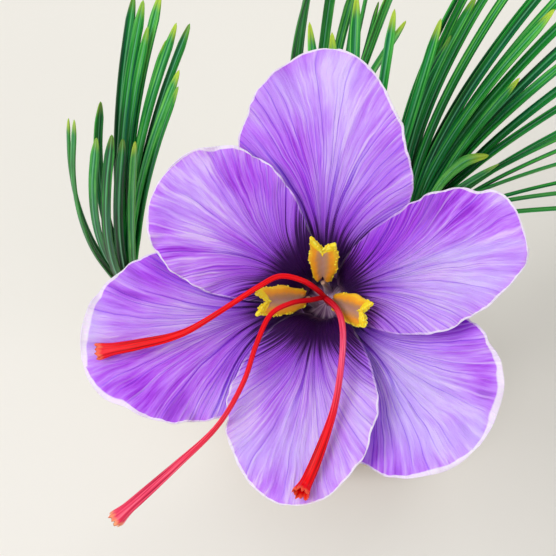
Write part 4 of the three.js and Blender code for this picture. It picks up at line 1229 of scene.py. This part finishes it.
def addCollar(look):
    # the coat runs up each shoot as a torn scale, and ends in loose fibres that lie on the shoot's skin
    path, seed = shootLine(look), look['seed']
    whole = lengthOf(path)

    def radius(share, turn):
        return look['radius'] + collar['stand'] + 0.1 * np.cos(turn * 9 + seed) * share + 0.2 * share

    def lip(turn):
        return waves(turn, (1.3, 3, seed), (0.9, 7, seed * 2), (0.6, 13, 0), (0.5, 29, seed))

    near = pointsOn(path, np.linspace(collar['from'], collar['to'], 12) / whole)
    made = [addSleeve('torn_scale', near, radius, lip, collar['wall'], sides=96, rows=20, fibreRidge=0.6)]
    stop = np.arange(9)
    for number in range(collar['fibres']):
        label = number + seed * 41
        turn = (number + draw(label)) / collar['fibres'] * fullTurn
        stops = mix(collar['from'], mix(*collar['reach'], draw(label + 0.2)), stop / 8)
        turns = turn + 0.12 * np.sin(stop * 0.8 + label) + (draw(label + 0.4) - 0.5) * 0.03 * stop
        away = look['radius'] + collar['stand'] + 0.25 + 0.5 * draw(label + 0.6) * (stop / 8) ** 2
        line = smoothLine(ringed(framesOn(path, stops / whole), stop, turns, away), 2)
        made.append(addStrand(line, mix(0.08, 0.16, draw(label + 0.8)), 0.4, 0.4 + draw(label + 0.9)))
    return made


def addCorm():
    tunic = addSheet('corm_tunic_coat', cormLook['columns'], cormLook['rows'], cormShape)
    for look in shoots.values():  # a hole for each shoot
        path = shootLine(look)
        start, heads = path[0], unit(path[2] - path[0])
        bpy.ops.mesh.primitive_cylinder_add(
            vertices=48, radius=(look['radius'] + cormLook['clear']) * mm, depth=cormLook['hole'] * mm,
            location=(start + heads * (cormLook['hole'] / 2 - 0.3)) * mm,
            rotation=(0, np.arccos(heads[2]), math.atan2(heads[1], heads[0])))
        cutter = bpy.context.active_object
        applied(tunic, 'BOOLEAN', object=cutter, operation='DIFFERENCE', solver='EXACT')
        bpy.data.objects.remove(cutter)
    loose = [addStrand(strandLine(number), mix(0.09, 0.17, draw(number + 0.6)), 0.5, 0.4 + draw(number + 0.7))
             for number in range(cormLook['strands'])]
    for look in shoots.values():
        loose += addCollar(look)
    whole = joined('corm_tunic_coat', [tunic, *loose])
    bpy.ops.object.shade_smooth()
    settled(whole, 'corm_tunic', 'corm', tunicSkin)


def plateShape(across, along, row):
    angle = across * fullTurn
    radius, height = plateOutline[row].T
    reach = radius * (1 + waves(angle, (0.02, 11, 0), (0.015, 23, 1)) * (height > 0.2))
    return np.stack([np.cos(angle) * reach, np.sin(angle) * reach, height], 1), {}


def addRoot(number):
    thin = number >= rootLook['count']
    seed = number + 0.37 * thin
    angle = number / rootLook['count'] * fullTurn + (draw(number + 70) - 0.5) * 0.12
    if thin:
        angle = draw(number + 0.5) * fullTurn
    reach = mix(rootLook['front'], rootLook['back'], (1 + math.sin(angle)) / 2)
    reach = reach * mix(0.85, 1, draw(number + 71.5)) * (mix(0.6, 0.9, draw(seed)) if thin else 1)
    thick = rootLook['radius'] * (0.5 if thin else 1)
    bend, plate = (draw(number + 73) - 0.5) * 0.3, rootLook['plate']
    stops = [(rootLook['start'], 0, 1.05), (plate + 1, 0, 1.2), (mix(plate, reach, 0.55), bend, 0.85),
             (reach, -bend * 0.6, 0.45)]  # radius, turn and height
    line = smoothLine([heading(angle + turn) * r + up * z for r, turn, z in stops], 12)
    share = np.linspace(0, 1, len(line))
    wander = waves(share, (0.3, 19, seed * 5), (0.12, 41, seed)) * share
    line += np.outer(wander, np.cross(up, heading(angle)))

    def radius(share, turn):
        knotted = 1 + 0.08 * np.sin(share * 60 + seed) + 0.05 * np.sin(3 * turn + share * 30)
        return thick * mix(1.05, 0.5, share) * knotted

    return addTube('root', line, radius, sides=10, rows=44)


def addRoots():
    parts = [addSheet('root_plate', 96, len(plateOutline) - 1, plateShape)]
    parts += [addRoot(number) for number in range(rootLook['count'] + rootLook['thin'])]
    settled(joined('corm_roots', parts), 'root', 'roots', rootSkin)


addCorm()
addRoots()
print('corm and roots done')
